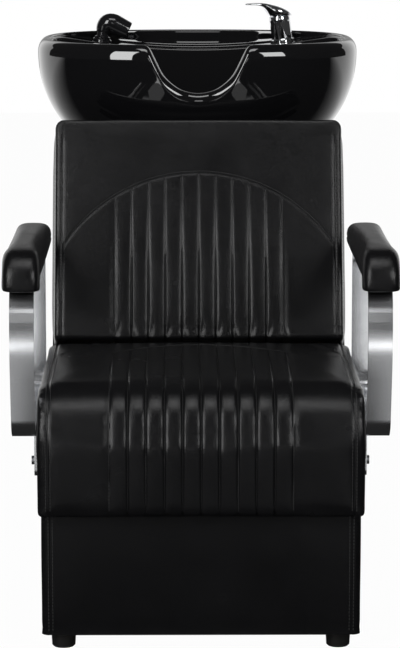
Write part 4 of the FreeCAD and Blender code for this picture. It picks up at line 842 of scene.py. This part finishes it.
def creases(co):
    """Diagonal folds at the rear corners of the seat."""
    total = 0.0
    flat = Vector((co.x, co.y, 0))
    for start, end, deep in CREASES:
        run = end - start
        share = max(0.0, min(1.0, (flat - start).dot(run) / run.length_squared))
        away = (flat - (start + run * share)).length
        total += deep * bell(away, 5 * MM) * math.sin(math.pi * share) * ramp(co.z, 0.36, 0.40)
    return total


# Back
def back_matrix():
    settings = cushion_settings()
    return Matrix.Translation(settings.back_foot) @ Matrix.Rotation(-settings.recline, 4, "X")


BACK_ARCH_TOP = 291 * MM
BACK_ARCH_RADIUS = 272 * MM


def back_arch(x):
    """Where the arched seam of the back lies along the slope."""
    reach = min(abs(x), BACK_ARCH_RADIUS)
    fall = math.sqrt(BACK_ARCH_RADIUS * BACK_ARCH_RADIUS - reach * reach)
    return BACK_ARCH_TOP - BACK_ARCH_RADIUS + fall


class BACKWASH_OT_back(bpy.types.Operator):
    """Makes the back cushion with its arched seam and sewn channels"""
    bl_idname = "backwash.back"
    bl_label = "Back cushion"
    slack = 1.5 * MM
    thick = 62 * MM
    length = 382 * MM
    top_radius = 14 * MM
    foot_radius = 17 * MM
    side_radius = 13 * MM
    puff_cap = 3 * MM
    crown = 2 * MM
    bulge = 2 * MM
    face = -3 * MM           # front face and foot in the back's own frame
    corner_reach = 24 * MM
    tuck = 5.5 * MM          # how far the foot is drawn in
    tuck_height = 55 * MM
    top_rise = 8 * MM

    def execute(self, context):
        settings = cushion_settings()
        slack, thick, length = self.slack, self.thick, self.length
        half = box_of("back_cushion")[1].x - slack
        piece = block("back_pad", (-half, slack, slack), (half, thick, length - slack))
        round_edges(
            piece, lambda at, edge: near(abs(at.x), half) and near(at.z, length - slack), self.top_radius, 6)
        round_edges(piece, lambda at, edge: near(at.y, slack) and near(at.z, slack), self.foot_radius, 7)

        def on_side(at, edge):
            outer = all(near(abs(v.co.x), half) for v in edge.verts)
            crown = all(near(v.co.y, slack) for v in edge.verts) and at.z > length - 30 * MM
            return (outer and not near(at.y, thick) and at.z < length - 20 * MM) or crown

        round_edges(piece, on_side, self.side_radius, 5)
        puff(piece, settings.back_grid, lambda co: co.y > thick - REST_REACH, self.puff_cap)
        for vertex in piece.data.vertices:
            co = vertex.co
            share = max(0.0, (thick - co.y) / thick)
            co.y -= self.crown * (1 - (co.x / half) ** 2) * share
        wide = half + self.bulge
        fit(piece, (-wide, -4 * MM, self.face), (wide, thick, length + 2 * MM))
        for vertex in piece.data.vertices:
            co = vertex.co
            front = ramp(thick - co.y, 0, thick)
            co.y -= (co.y - self.face) * 0.8 * ramp(-co.y, -14 * MM, 0)
            square_corner(co, self.face, self.face, self.corner_reach)
            co.y += self.tuck * front * max(0.0, 1 - co.z / self.tuck_height) ** 2
            co.z += self.top_rise * ramp(co.z, 0.30, length) * front
        refine(piece, 1)
        seam_x = half - settings.seam_inset
        lines = channel_lines()
        score(piece, scored_lines(lines + [-seam_x, seam_x]), 0)

        def depth(co, normal):
            if co.y >= 40 * MM:
                return 0.0
            arch = back_arch(co.x)
            sewn = 1 - ramp(co.z, arch - ARCH_FADE, arch)
            sewn *= 0.75 - 0.6 * ramp(co.z, 60 * MM, 260 * MM)
            value = channel_depth(co.x) * sewn if abs(co.x) < lines[-1] + CHANNEL_MARGIN else 0.0
            if abs(co.x) < seam_x:
                value += 0.9 * MM * bell(co.z - arch, SEAM_WIDTH) * ramp(-normal.y, 0.3, 0.7)
            seam = 0.9 * MM * bell(abs(co.x) - seam_x, SEAM_WIDTH)
            value += seam * (1 - ramp(co.z, length - 50 * MM, length - 15 * MM))
            value += puckers(co, lines)
            return value

        press(piece, depth)
        place = back_matrix()
        turn = place.to_3x3()
        tree = surface_of(piece)
        chains = []
        for path in self.paths(lines, seam_x):
            found = trace(tree, path, (0, 1, 0), 0.05)
            chains.append([(place @ point, turn @ normal) for point, normal in found])
        piece.data.transform(place)
        finish_soft(piece, "back_cushion")
        sew("back_stitches", chains)
        return {"FINISHED"}

    @staticmethod
    def paths(lines, seam_x):
        """The sewn lines as flat paths in the back's own frame."""
        foot = 26 * MM
        for x in lines:
            top = back_arch(x) - 3 * MM
            yield [(x, 0, foot + (top - foot) * index / 60) for index in range(61)]
        for x in beside(seam_x, SEAM_GAP):
            yield [(x, 0, 24 * MM + 336 * MM * index / 80) for index in range(81)]
        reach = int(seam_x / MM) - 2
        yield [(x * MM, 0, back_arch(x * MM) + 3.2 * MM) for x in range(-reach, reach + 1, 4)]


def square_corner(co, front, foot, reach):
    """Draws the round lower edge of the back out into a tighter one."""
    out = 1 - (co.y - front) / reach
    down = 1 - (co.z - foot) / reach
    if out > 0 and down > 0:
        round_reach = math.hypot(out, down)
        square_reach = (out ** 5 + down ** 5) ** 0.2
        stretch = 1 + (round_reach / square_reach - 1) * min(1.0, round_reach)
        co.y = front + reach * (1 - out * stretch)
        co.z = foot + reach * (1 - down * stretch)


def puckers(co, lines):
    """Small gathers where the channels run into the rolled lower edge."""
    total = 0.0
    for index, x in enumerate(lines):
        lean = (0.25, -0.35, 0.15)[index % 3]
        height = co.z - 14 * MM
        if abs(height) < 30 * MM:
            away = co.x - x - height * lean - 5 * MM
            total += 1.3 * MM * bell(away, 3.5 * MM) * bell(height, 14 * MM)
    return total


# Arm rests
class BACKWASH_OT_rests(bpy.types.Operator):
    """Makes the padded arm rests"""
    bl_idname = "backwash.rests"
    bl_label = "Arm rests"
    slack = 1.0 * MM
    nose_depth = 32 * MM     # nose ahead of the bar
    rear_height = 33 * MM
    front_radius = 56 * MM
    rear_radius = 16 * MM
    side_radius = 18 * MM
    puff_cap = 3 * MM
    overrun = 0.1

    def execute(self, context):
        for side in ("right", "left"):
            self.rest("rest_pad_" + side, "arm_pad_" + side)
        return {"FINISHED"}

    def rest(self, name, cad):
        low, high = box_of(cad)
        bar_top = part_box(cad.replace("pad", "loop"))[1][2] + BOARD_GAP
        heel = low.y + self.nose_depth
        rear_top = bar_top + self.rear_height
        front_rise = high.z - self.slack - rear_top
        left = low.x + self.slack
        right = high.x - self.slack
        bottom = low.z + self.slack
        front = low.y + self.slack
        rear = high.y - self.slack
        piece = block(name, (left, front, bottom), (right, rear, rear_top))
        for vertex in piece.data.vertices:
            if near(vertex.co.z, rear_top):
                vertex.co.z += front_rise * (high.y - vertex.co.y) / (high.y - low.y)
        round_edges(piece, lambda at, edge: near(at.y, front) and at.z > rear_top, self.front_radius, 12)
        round_edges(piece, lambda at, edge: near(at.y, rear) and near(at.z, rear_top), self.rear_radius, 6)

        def on_side(at, edge):
            outer = any(all(near(v.co.x, x) for v in edge.verts) for x in (left, right))
            return outer and not near(at.z, bottom)

        round_edges(piece, on_side, self.side_radius, 7)
        past = self.overrun
        cutter = block("cutter", (left - past, heel, bottom - past), (right + past, high.y + past, bar_top))
        carve(piece, cutter)
        puff(piece, cushion_settings().rest_grid,
             lambda co: co.z < bar_top + 2 * MM and co.y > heel, self.puff_cap)
        for vertex in piece.data.vertices:
            co = vertex.co
            if co.y > heel:
                co.z = max(co.z, bar_top)
        fit(piece, low, high)
        refine(piece, 1)

        def depth(co, normal):
            seam_z = bar_top + 11 * MM + (high.z - rear_top) * 0.3 * (high.y - co.y) / (high.y - low.y)
            flank = ramp(abs(normal.x), 0.5, 0.8)
            return 1.0 * MM * bell(co.z - seam_z, 1.8 * MM) * flank * ramp(co.y, heel, heel + 30 * MM)

        press(piece, depth)
        finish_soft(piece, cad)


# Base cover
class BACKWASH_OT_cover(bpy.types.Operator):
    """Makes the leather cover of the base"""
    bl_idname = "backwash.cover"
    bl_label = "Base cover"
    grid = (10 * MM, 20 * MM, 10 * MM)
    corner_radius = 14 * MM
    hide = 1.6 * MM
    seam_inset = 15 * MM
    seam_gap = 3.2 * MM
    seam_scores = (-3.0 * MM, -1.2 * MM, 0.0, 1.2 * MM, 3.0 * MM)

    def execute(self, context):
        low, high = box_of("base_cover")
        step_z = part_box("seat_deck")[1][2]
        slope_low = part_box("seat_deck")[1][1]
        slope_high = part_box("bowl_deck")[0][1] - 6.5 * MM
        piece = block("base_skin", (low.x, low.y, low.z), (high.x, slope_low, step_z))
        pull(piece, lambda at, face: face.normal.y > 0.9, (0, high.y - slope_low, 0))
        pull(piece, lambda at, face: face.normal.z > 0.9 and at.y > slope_low, (0, 0, high.z - step_z))
        for vertex in piece.data.vertices:
            if near(vertex.co.z, high.z) and near(vertex.co.y, slope_low):
                vertex.co.y = slope_high
        round_edges(
            piece, lambda at, edge: near(at.y, low.y) and near(abs(at.x), high.x), self.corner_radius, 8)
        pick(piece, "FACE", lambda at, face: face.normal.y > 0.9 or abs(face.normal.z) > 0.5
             or (face.normal.y < -0.5 and at.z > step_z))
        bpy.ops.mesh.delete(type="FACE")
        leave_edit()
        for axis, step in enumerate(self.grid):
            count = int((high[axis] - low[axis]) / step)
            score(piece, [low[axis] + (high[axis] - low[axis]) * k / count for k in range(1, count)], axis)
        seam_x = high.x - self.seam_inset
        score(piece, [seam + offset for seam in (-seam_x, seam_x) for offset in self.seam_scores], 0)

        def depth(co, normal):
            value = 1.2 * MM * bell(abs(co.x) - seam_x, 1.6 * MM) if normal.y < -0.5 else 0.0
            slack = 0.5 * MM * math.sin(co.x * 31 + co.z * 9) * math.sin(co.z * 23 + co.y * 7)
            hem = 0.8 * MM * bell(co.z - low.z - 9 * MM, 3 * MM)
            return value + abs(slack) + hem

        press(piece, depth)
        thick = piece.modifiers.new("hide", "SOLIDIFY")
        thick.thickness = self.hide
        thick.offset = -1
        apply_all(piece)
        smooth(piece, 50)
        stand_in(piece, "base_cover", "leather", STAND)
        tree = surface_of(piece)
        chains = []
        for x in beside(seam_x, self.seam_gap):
            path = [(x, low.y, low.z + 6 * MM + index * 4 * MM) for index in range(50)]
            chains.append(trace(tree, path, (0, 1, 0), 0.05))
        sew("base_stitches", chains)
        return {"FINISHED"}


# Bowl
NOTCH = ((0, 831.6), (26.8, 836.8), (44.1, 847.4), (59.7, 863.2), (70.0, 882.6), (78.7, 900.0), (84.5, 911.0),
         (92.6, 915.4), (102.0, 916.0))


def notch_top(x):
    """Height of the rim at x, down through the neck notch, in metres."""
    x = abs(x) / MM
    if x >= NOTCH[-1][0]:
        return NOTCH[-1][1] * MM
    index = max(i for i in range(len(NOTCH) - 1) if NOTCH[i][0] <= x)

    def slope(i):
        if i == 0 or i == len(NOTCH) - 1:
            return 0.0
        return (NOTCH[i + 1][1] - NOTCH[i - 1][1]) / (NOTCH[i + 1][0] - NOTCH[i - 1][0])

    (x0, z0), (x1, z1) = NOTCH[index], NOTCH[index + 1]
    span = x1 - x0
    t = (x - x0) / span
    value = (z0 * (1 + 2 * t) * (1 - t) ** 2 + slope(index) * span * t * (1 - t) ** 2
             + z1 * t * t * (3 - 2 * t) + slope(index + 1) * span * t * t * (t - 1))
    return value * MM


OVAL = 2.6               # power of the bowl's oval, 2 for an ellipse
SHELF_SWEEP = 1.2        # radius of the shelf's dish across the bowl


def blunt(value, power):
    """A power that keeps the sign."""
    return math.copysign(abs(value) ** power, value)


def oval_point(angle, half_width, front, rear):
    """A point of a full oval round the bowl's middle."""
    s = math.sin(angle)
    return half_width * blunt(math.cos(angle), 2 / OVAL), (rear if s > 0 else front) * blunt(s, 2 / OVAL)


def dish(x):
    return SHELF_SWEEP - math.sqrt(SHELF_SWEEP * SHELF_SWEEP - x * x)


def grown(sizes, amount):
    return tuple(size + amount for size in sizes)


class BACKWASH_OT_bowl(bpy.types.Operator):
    """Makes the glazed bowl with its rolled rim, neck notch and shelf"""
    bl_idname = "backwash.bowl"
    bl_label = "Bowl"
    rim_z = 916 * MM
    wide_z = 893 * MM
    foot_z = 716 * MM
    skirt_z = 834 * MM
    floor_z = 729 * MM
    edge_z = 886 * MM
    centre_y = 310 * MM
    half_width = 287 * MM
    basin_depth = 157 * MM
    fillet = 3 * MM
    roll_width = 16 * MM
    roll_height = 23 * MM
    turn_z = foot_z + 6 * MM
    # Under-side behind the skirt: height, skin inside the outer wall or wall outside the basin
    hollow_path = (
        (skirt_z, 6.0, None), (skirt_z, 13.0, None), (skirt_z + 20 * MM, 13.0, None),
        (skirt_z + 36 * MM, 13.0, None), (skirt_z + 36 * MM, None, 30.0), (skirt_z + 36 * MM, None, 12.0),
        (skirt_z + 10 * MM, None, 12.0), (0.800, None, 12.0), (0.770, None, 12.0), (0.742, None, 16.0),
    )

    def outer(self, z):
        """Half width, front and rear reach of the outside at a height."""
        u = min(1.0, max(0.0, (self.wide_z - z) / (self.wide_z - self.foot_z)))
        swell = math.sqrt(1 - u * u)
        reach = (140 + 95 * swell) * MM
        return (144 + 143 * swell) * MM, reach, reach

    def basin(self, z, grow=0.0):
        """Half width, front and rear reach of the basin at a height."""
        u = min(1.0, max(0.0, (self.edge_z - z) / (self.edge_z - self.floor_z)))
        swell = math.sqrt(1 - u * u)
        slope = (swell + 1 - u) / 2
        shares = ((58, 264, swell), (56, 212, swell), (56, 113, slope))
        return tuple((low + (high - low) * share) * MM + grow for low, high, share in shares)

    def angles(self):
        """Columns round the bowl, close together across the notch."""
        close = []
        for step in range(-26, 27):
            x = step * 4.5 * MM
            c = (abs(x) / self.half_width) ** (OVAL / 2)
            close.append(-math.pi / 2 + math.copysign(math.asin(c), x))
        first = close[-1]
        last = close[0] + 2 * math.pi
        count = 110
        return close + [first + (last - first) * step / count for step in range(1, count)]

    def column(self, angle):
        """The points of one column, from the drain over the rim and down the outside to the drain again."""
        points = []

        def put(sizes, z):
            x, y = oval_point(angle, *sizes)
            points.append(Vector((x, self.centre_y + y, z)))

        def top_at(sizes):
            return notch_top(oval_point(angle, *sizes)[0]) if math.sin(angle) < 0 else self.rim_z

        def shelf_at(sizes):
            return self.edge_z + dish(oval_point(angle, *sizes)[0])

        # Drain and basin wall
        drain = (30 * MM,) * 3
        put(drain, self.floor_z - 0.5 * MM)
        put((46 * MM, 45 * MM, 45 * MM), self.floor_z - 0.2 * MM)
        full = self.basin(self.edge_z)
        notch = top_at(full)
        shelf = shelf_at(full)
        cut = min(shelf, notch - 5 * MM)
        rise = max(0.0, min(1.0, (self.edge_z - cut + 5 * MM) / self.basin_depth))
        end = math.degrees(math.asin(rise))
        for step in range(10):
            t = math.radians(90 + (end - 90) * (step / 9) ** 0.8)
            z = self.edge_z - self.basin_depth * math.sin(t)
            put(self.basin(z), z)
        # Shelf, or what the notch leaves of it
        lip = self.basin(cut)
        for degrees in (0, 30, 60):
            bow = math.radians(degrees)
            put(grown(lip, self.fillet * (1 - math.cos(bow))), cut - self.fillet * (1 - math.sin(bow)))
        inner = (267 * MM, 215 * MM, 215 * MM)
        if notch < self.rim_z - 22 * MM:
            wall = self.basin(notch)
            inner = grown((wall[0], wall[1], wall[1]), 2 * MM)
        for share in (0.0, 0.05, 0.35, 0.7, 0.93, 0.985):
            sizes = tuple(a + (b - a) * share for a, b in zip(lip, inner))
            sizes = grown(sizes, self.fillet * (1 - share))
            level = shelf_at(sizes) if cut == shelf else cut
            put(sizes, min(level, top_at(sizes) - 3.6 * MM))
        # Rim
        foot = points[-1].z
        for share in (0.1, 0.5):
            put(inner, foot + (top_at(inner) - 3.2 * MM - foot) * share)
        for inset, drop in ((0.0, 3.2), (0.5, 1.6), (1.8, 0.4), (4.0, 0.0)):
            sizes = grown(inner, inset * MM)
            put(sizes, top_at(sizes) - drop * MM)
        rough = self.outer(min(self.wide_z, notch))
        for degrees in (80, 66, 52, 39, 26, 13, 0):
            bow = math.radians(degrees)
            inset = self.roll_width * (1 - math.cos(bow))
            z = top_at(grown(rough, -inset)) - self.roll_height * (1 - math.sin(bow))
            put(grown(self.outer(min(self.wide_z, z)), -inset), z)
        # Outside, and the hollow behind the skirt
        lowest = z
        hollow = ramp(math.sin(angle), 0.10, 0.30)
        levels = [lowest + (self.skirt_z - lowest) * step / 6 for step in range(1, 7)]
        if hollow == 0:
            levels = [lowest + (self.turn_z - lowest) * (step / 18) for step in range(1, 7)]
        for z in levels:
            put(self.outer(z), z)
        begin = levels[-1]
        for step, (z, skin, wall) in enumerate(self.hollow_path, 1):
            level = begin + (self.turn_z - begin) * step / (len(self.hollow_path) + 1)
            deep = grown(self.outer(z), -skin * MM) if skin else self.basin(z, wall * MM)
            mixed = tuple(a + (b - a) * hollow for a, b in zip(self.outer(level), deep))
            put(mixed, level + (z - level) * hollow)
        # Foot
        put((143 * MM, 139 * MM, 139 * MM), self.foot_z + 3 * MM)
        put((139 * MM, 135 * MM, 135 * MM), self.foot_z)
        put((80 * MM,) * 3, self.foot_z)
        put(drain, self.foot_z)
        put(drain, self.floor_z - 0.5 * MM)
        return points

    def execute(self, context):
        columns = [self.column(angle) for angle in self.angles()]
        rings = [list(ring) for ring in zip(*columns)]
        piece = loft("bowl_glaze", rings, closed=True)
        refine(piece, 1)
        smooth(piece, 80)
        stand_in(piece, "bowl", "ceramic", BOWL_BODY)
        return {"FINISHED"}


# Mixer
class BACKWASH_OT_lever(bpy.types.Operator):
    """Makes the mixer's handle, a cap that runs out into a lever"""
    bl_idname = "backwash.lever"
    bl_label = "Mixer handle"
    stations = (
        (64.0, 79.6, 78.2, 3.0), (62.0, 80.3, 77.4, 6.5), (50.0, 79.6, 75.4, 8.0), (35.5, 77.8, 72.8, 9.5),
        (24.5, 75.5, 65.0, 13.5), (16.2, 72.4, 45.6, 18.5), (6.0, 68.5, 45.4, 21.8), (-4.0, 63.5, 45.4, 22.2),
        (-13.0, 57.8, 45.4, 19.0), (-20.0, 52.0, 45.5, 11.5), (-22.8, 48.0, 45.8, 4.0),
    )

    lean = (-0.1333, 0, 0.9911)     # the mixer's axis
    place = (160 * MM, 465 * MM, 896.7 * MM)
    swing = math.radians(20)        # how far the lever points to the front
    ring_points = 24
    bluntness = 0.8
    pocket_radius = 9.5 * MM        # room for the stem
    pocket_depth = 20 * MM
    pocket_height = 44 * MM

    def execute(self, context):
        up = Vector(self.lean)
        side = Vector((up.z, 0, -up.x))
        ahead = -side * math.cos(self.swing) - Vector((0, 1, 0)) * math.sin(self.swing)
        across = up.cross(ahead)
        origin = Vector(self.place)
        rings = []
        for reach, top, bottom, half in self.stations:
            ring = []
            for step in range(self.ring_points):
                angle = 2 * math.pi * step / self.ring_points
                wide = half * blunt(math.cos(angle), self.bluntness)
                high = (top + bottom) / 2 + (top - bottom) / 2 * blunt(math.sin(angle), self.bluntness)
                ring.append(origin + (ahead * reach + across * wide + up * high) * MM)
            rings.append(ring)
        piece = loft("mixer_handle_chrome", rings)
        refine(piece, 2)
        deselect()
        bpy.ops.mesh.primitive_cylinder_add(
            vertices=32, radius=self.pocket_radius, depth=self.pocket_depth,
            location=origin + up * self.pocket_height, rotation=up.to_track_quat("Z", "Y").to_euler())
        carve(piece, bpy.context.object)
        smooth(piece, 50)
        stand_in(piece, "tap_handle", "chrome", "mixer_handle")
        return {"FINISHED"}


# Hand shower
class BACKWASH_OT_shower(bpy.types.Operator):
    """Makes the shell of the hand shower's head, which swells out of the neck"""
    bl_idname = "backwash.shower"
    bl_label = "Shower head"
    neck_z = 23.3
    bend = 12.0
    turn = 108
    stem = ((-9.5, 12.2), (-6.0, 13.0), (0.0, 14.5))
    elbow = ((27, 16.2), (54, 17.8), (81, 18.6))
    head = ((0.0, 18.8), (7.0, 18.2), (18.0, 17.4), (29.5, 16.8), (31.6, 16.2), (32.0, 15.4), (32.0, 14.4),
            (29.0, 14.4), (28.0, 8.0))
    lean = (0.1467, 0, 0.9892)      # axis of the shelf's hole
    place = (-176, 465, 899)
    ring_points = 28

    def station(self, degrees, ahead, radius):
        """A ring round the bent neck, given in the frame of the shelf's hole."""
        angle = math.radians(degrees)
        centre = Vector((self.bend * (1 - math.cos(angle)), 0, self.neck_z + self.bend * math.sin(angle)))
        run = Vector((math.sin(angle), 0, math.cos(angle)))
        out = Vector((-math.cos(angle), 0, math.sin(angle)))
        ring = []
        for step in range(self.ring_points):
            turn = 2 * math.pi * step / self.ring_points
            reach = radius * math.cos(turn)
            if 0 < degrees < self.turn:
                reach = max(reach, -self.bend + 0.6)
            ring.append(centre + run * ahead + out * reach + Vector((0, radius * math.sin(turn), 0)))
        return ring

    def execute(self, context):
        rings = [self.station(0, ahead, radius) for ahead, radius in self.stem]
        rings += [self.station(degrees, 0, radius) for degrees, radius in self.elbow]
        rings += [self.station(self.turn, ahead, radius) for ahead, radius in self.head]
        up = Vector(self.lean)
        side = Vector((up.z, 0, -up.x))
        origin = Vector(self.place)

        def placed(point):
            return (origin + side * point.x + Vector((0, point.y, 0)) + up * point.z) * MM

        piece = loft("shower_shell", [[placed(point) for point in ring] for ring in rings])
        refine(piece, 1)
        smooth(piece, 50)
        stand_in(piece, "shower_head", "shower_plastic", "hand_shower")
        return {"FINISHED"}


# Stage
LAMPS = (                # name, place, aim, width, height and power
    ("overhead_box", (0.0, -1.15, 3.0), (0, -0.3, 0.5), 1.5, 0.9, 18),
    ("left_box", (-1.9, -2.8, 2.0), (0, 0.2, 0.8), 1.0, 2.8, 80),
    ("right_box", (2.0, -2.9, 2.2), (0, 0.2, 0.8), 1.0, 1.7, 46),
    ("front_box", (0.0, -6.5, 1.72), (0, 0, 0.6), 0.95, 1.05, 8),
)
ROOM_WIDTH = 26
WALL_Y = 9.0
WALL_HEIGHT = 6.4
WORLD_GLOW = 0.04        # what the pieces get from all round


class BACKWASH_OT_stage(bpy.types.Operator):
    """Sets the floor, the backdrop, the lamps and the camera"""
    bl_idname = "backwash.stage"
    bl_label = "Studio"

    def execute(self, context):
        scene = context.scene
        settings = scene.backwash_stage
        scene.view_settings.view_transform = "Standard"
        self.ground()
        self.world(scene)
        for lamp in LAMPS:
            self.lamp(*lamp)
        for side, x in (("left", -0.44), ("right", 0.46)):
            self.lamp(side + "_low_strip", (x, -3.4, 0.2), (x * 0.6, 0, 0.5), 0.28, 0.40, 0.2)
            self.lamp(side + "_far_card", (x, -2.8, 0.01), (x, -2.8, 1), 0.26, 1.2, 2.5)
            self.lamp(side + "_near_card", (x, -1.5, 0.01), (x, -1.5, 1), 0.26, 1.4, 0.5)
        deselect()
        bpy.ops.object.camera_add(location=settings.camera_place)
        camera = context.object
        camera.name = "view_camera"
        aim = Vector(settings.camera_aim) - Vector(settings.camera_place)
        camera.rotation_euler = aim.to_track_quat("-Z", "Y").to_euler()
        camera.data.sensor_fit = "VERTICAL"
        camera.data.sensor_height = 36.0
        camera.data.lens = settings.lens
        camera.data.clip_end = 60
        scene.camera = camera
        return {"FINISHED"}

    @staticmethod
    def white_card(name, share, axis, dark_from, dark_to, dark):
        """A matt pale surface that the camera sees as white and polished pieces see fade along an axis."""
        material = bpy.data.materials.new(name)
        material.use_nodes = True
        tree = material.node_tree
        tree.nodes.clear()
        matt = node(tree, "ShaderNodeBsdfDiffuse", {"Color": (0.86, 0.86, 0.86, 1)})
        path = node(tree, "ShaderNodeLightPath").outputs
        here = node(tree, "ShaderNodeNewGeometry").outputs["Position"]
        along = node(tree, "ShaderNodeSeparateXYZ", {0: here}).outputs[axis]
        if axis == "X":
            along = math_node(tree, "ABSOLUTE", along, 0.0)
        fade = map_range(tree, along, dark_from, dark_to, dark)
        plain = math_node(tree, "SUBTRACT", 1.0, path["Is Glossy Ray"])
        glow = node(tree, "ShaderNodeEmission", {"Strength": math_node(tree, "MAXIMUM", fade, plain)})
        seen = math_node(tree, "MAXIMUM", path["Is Camera Ray"], path["Is Transmission Ray"])
        seen = math_node(tree, "MULTIPLY", seen, share)
        lit = math_node(tree, "MAXIMUM", seen, path["Is Glossy Ray"])
        mix = node(tree, "ShaderNodeMixShader", {0: lit, 1: matt.outputs[0], 2: glow.outputs[0]})
        node(tree, "ShaderNodeOutputMaterial", {"Surface": mix.outputs[0]})
        return material

    def ground(self):
        deselect()
        bpy.ops.mesh.primitive_plane_add(size=ROOM_WIDTH, location=(0, 0, 0))
        floor = bpy.context.object
        floor.name = "studio_floor"
        floor.data.materials.append(self.white_card("pale_floor", 0.975, "Y", 0.4, 2.4, 0.02))
        deselect()
        bpy.ops.mesh.primitive_plane_add(
            size=1, location=(0, WALL_Y, WALL_HEIGHT / 2), rotation=(math.pi / 2, 0, 0))
        wall = bpy.context.object
        wall.name = "studio_wall"
        wall.scale = (ROOM_WIDTH, WALL_HEIGHT, 1)
        wall.data.materials.append(self.white_card("pale_wall", 1.0, "X", 1.5, 2.8, 0.3))

    @staticmethod
    def world(scene):
        world = bpy.data.worlds.new("studio")
        scene.world = world
        world.use_nodes = True
        tree = world.node_tree
        seen = node(tree, "ShaderNodeLightPath").outputs["Is Camera Ray"]
        feed(tree, tree.nodes["Background"], {
            "Color": (1, 1, 1, 1), "Strength": math_node(tree, "MAXIMUM", seen, WORLD_GLOW)})

    @staticmethod
    def lamp(name, place, aim, width, height, power):
        deselect()
        bpy.ops.object.light_add(type="AREA", location=place)
        light = bpy.context.object
        light.name = name
        light.data.shape = "RECTANGLE"
        light.data.size = width
        light.data.size_y = height
        light.data.energy = power
        light.visible_camera = False
        run = Vector(aim) - Vector(place)
        light.rotation_euler = run.to_track_quat("-Z", "Y").to_euler()


class BACKWASH_PT_panel(bpy.types.Panel):
    """Lists the steps that dress the unit"""
    bl_idname = "BACKWASH_PT_panel"
    bl_label = "Backwash unit"
    bl_space_type = "VIEW_3D"
    bl_region_type = "UI"
    bl_category = "Backwash"

    def draw(self, context):
        for step in STEPS:
            self.layout.operator(step.bl_idname)


STEPS = (
    BACKWASH_OT_finishes,
    BACKWASH_OT_seat,
    BACKWASH_OT_back,
    BACKWASH_OT_rests,
    BACKWASH_OT_cover,
    BACKWASH_OT_bowl,
    BACKWASH_OT_lever,
    BACKWASH_OT_shower,
    BACKWASH_OT_stage,
)
GROUPS = (
    ("backwash_cushion", CushionSettings),
    ("backwash_finish", FinishSettings),
    ("backwash_stage", StageSettings),
)


def register():
    for name, group in GROUPS:
        bpy.utils.register_class(group)
        setattr(bpy.types.Scene, name, bpy.props.PointerProperty(type=group))
    for step in STEPS:
        bpy.utils.register_class(step)
    bpy.utils.register_class(BACKWASH_PT_panel)


def unregister():
    bpy.utils.unregister_class(BACKWASH_PT_panel)
    for step in reversed(STEPS):
        bpy.utils.unregister_class(step)
    for name, group in GROUPS:
        delattr(bpy.types.Scene, name)
        bpy.utils.unregister_class(group)


def main():
    register()
    for step in STEPS:
        family, name = step.bl_idname.split(".")
        getattr(getattr(bpy.ops, family), name)()
    deselect()


if __name__ == "__main__":
    main()
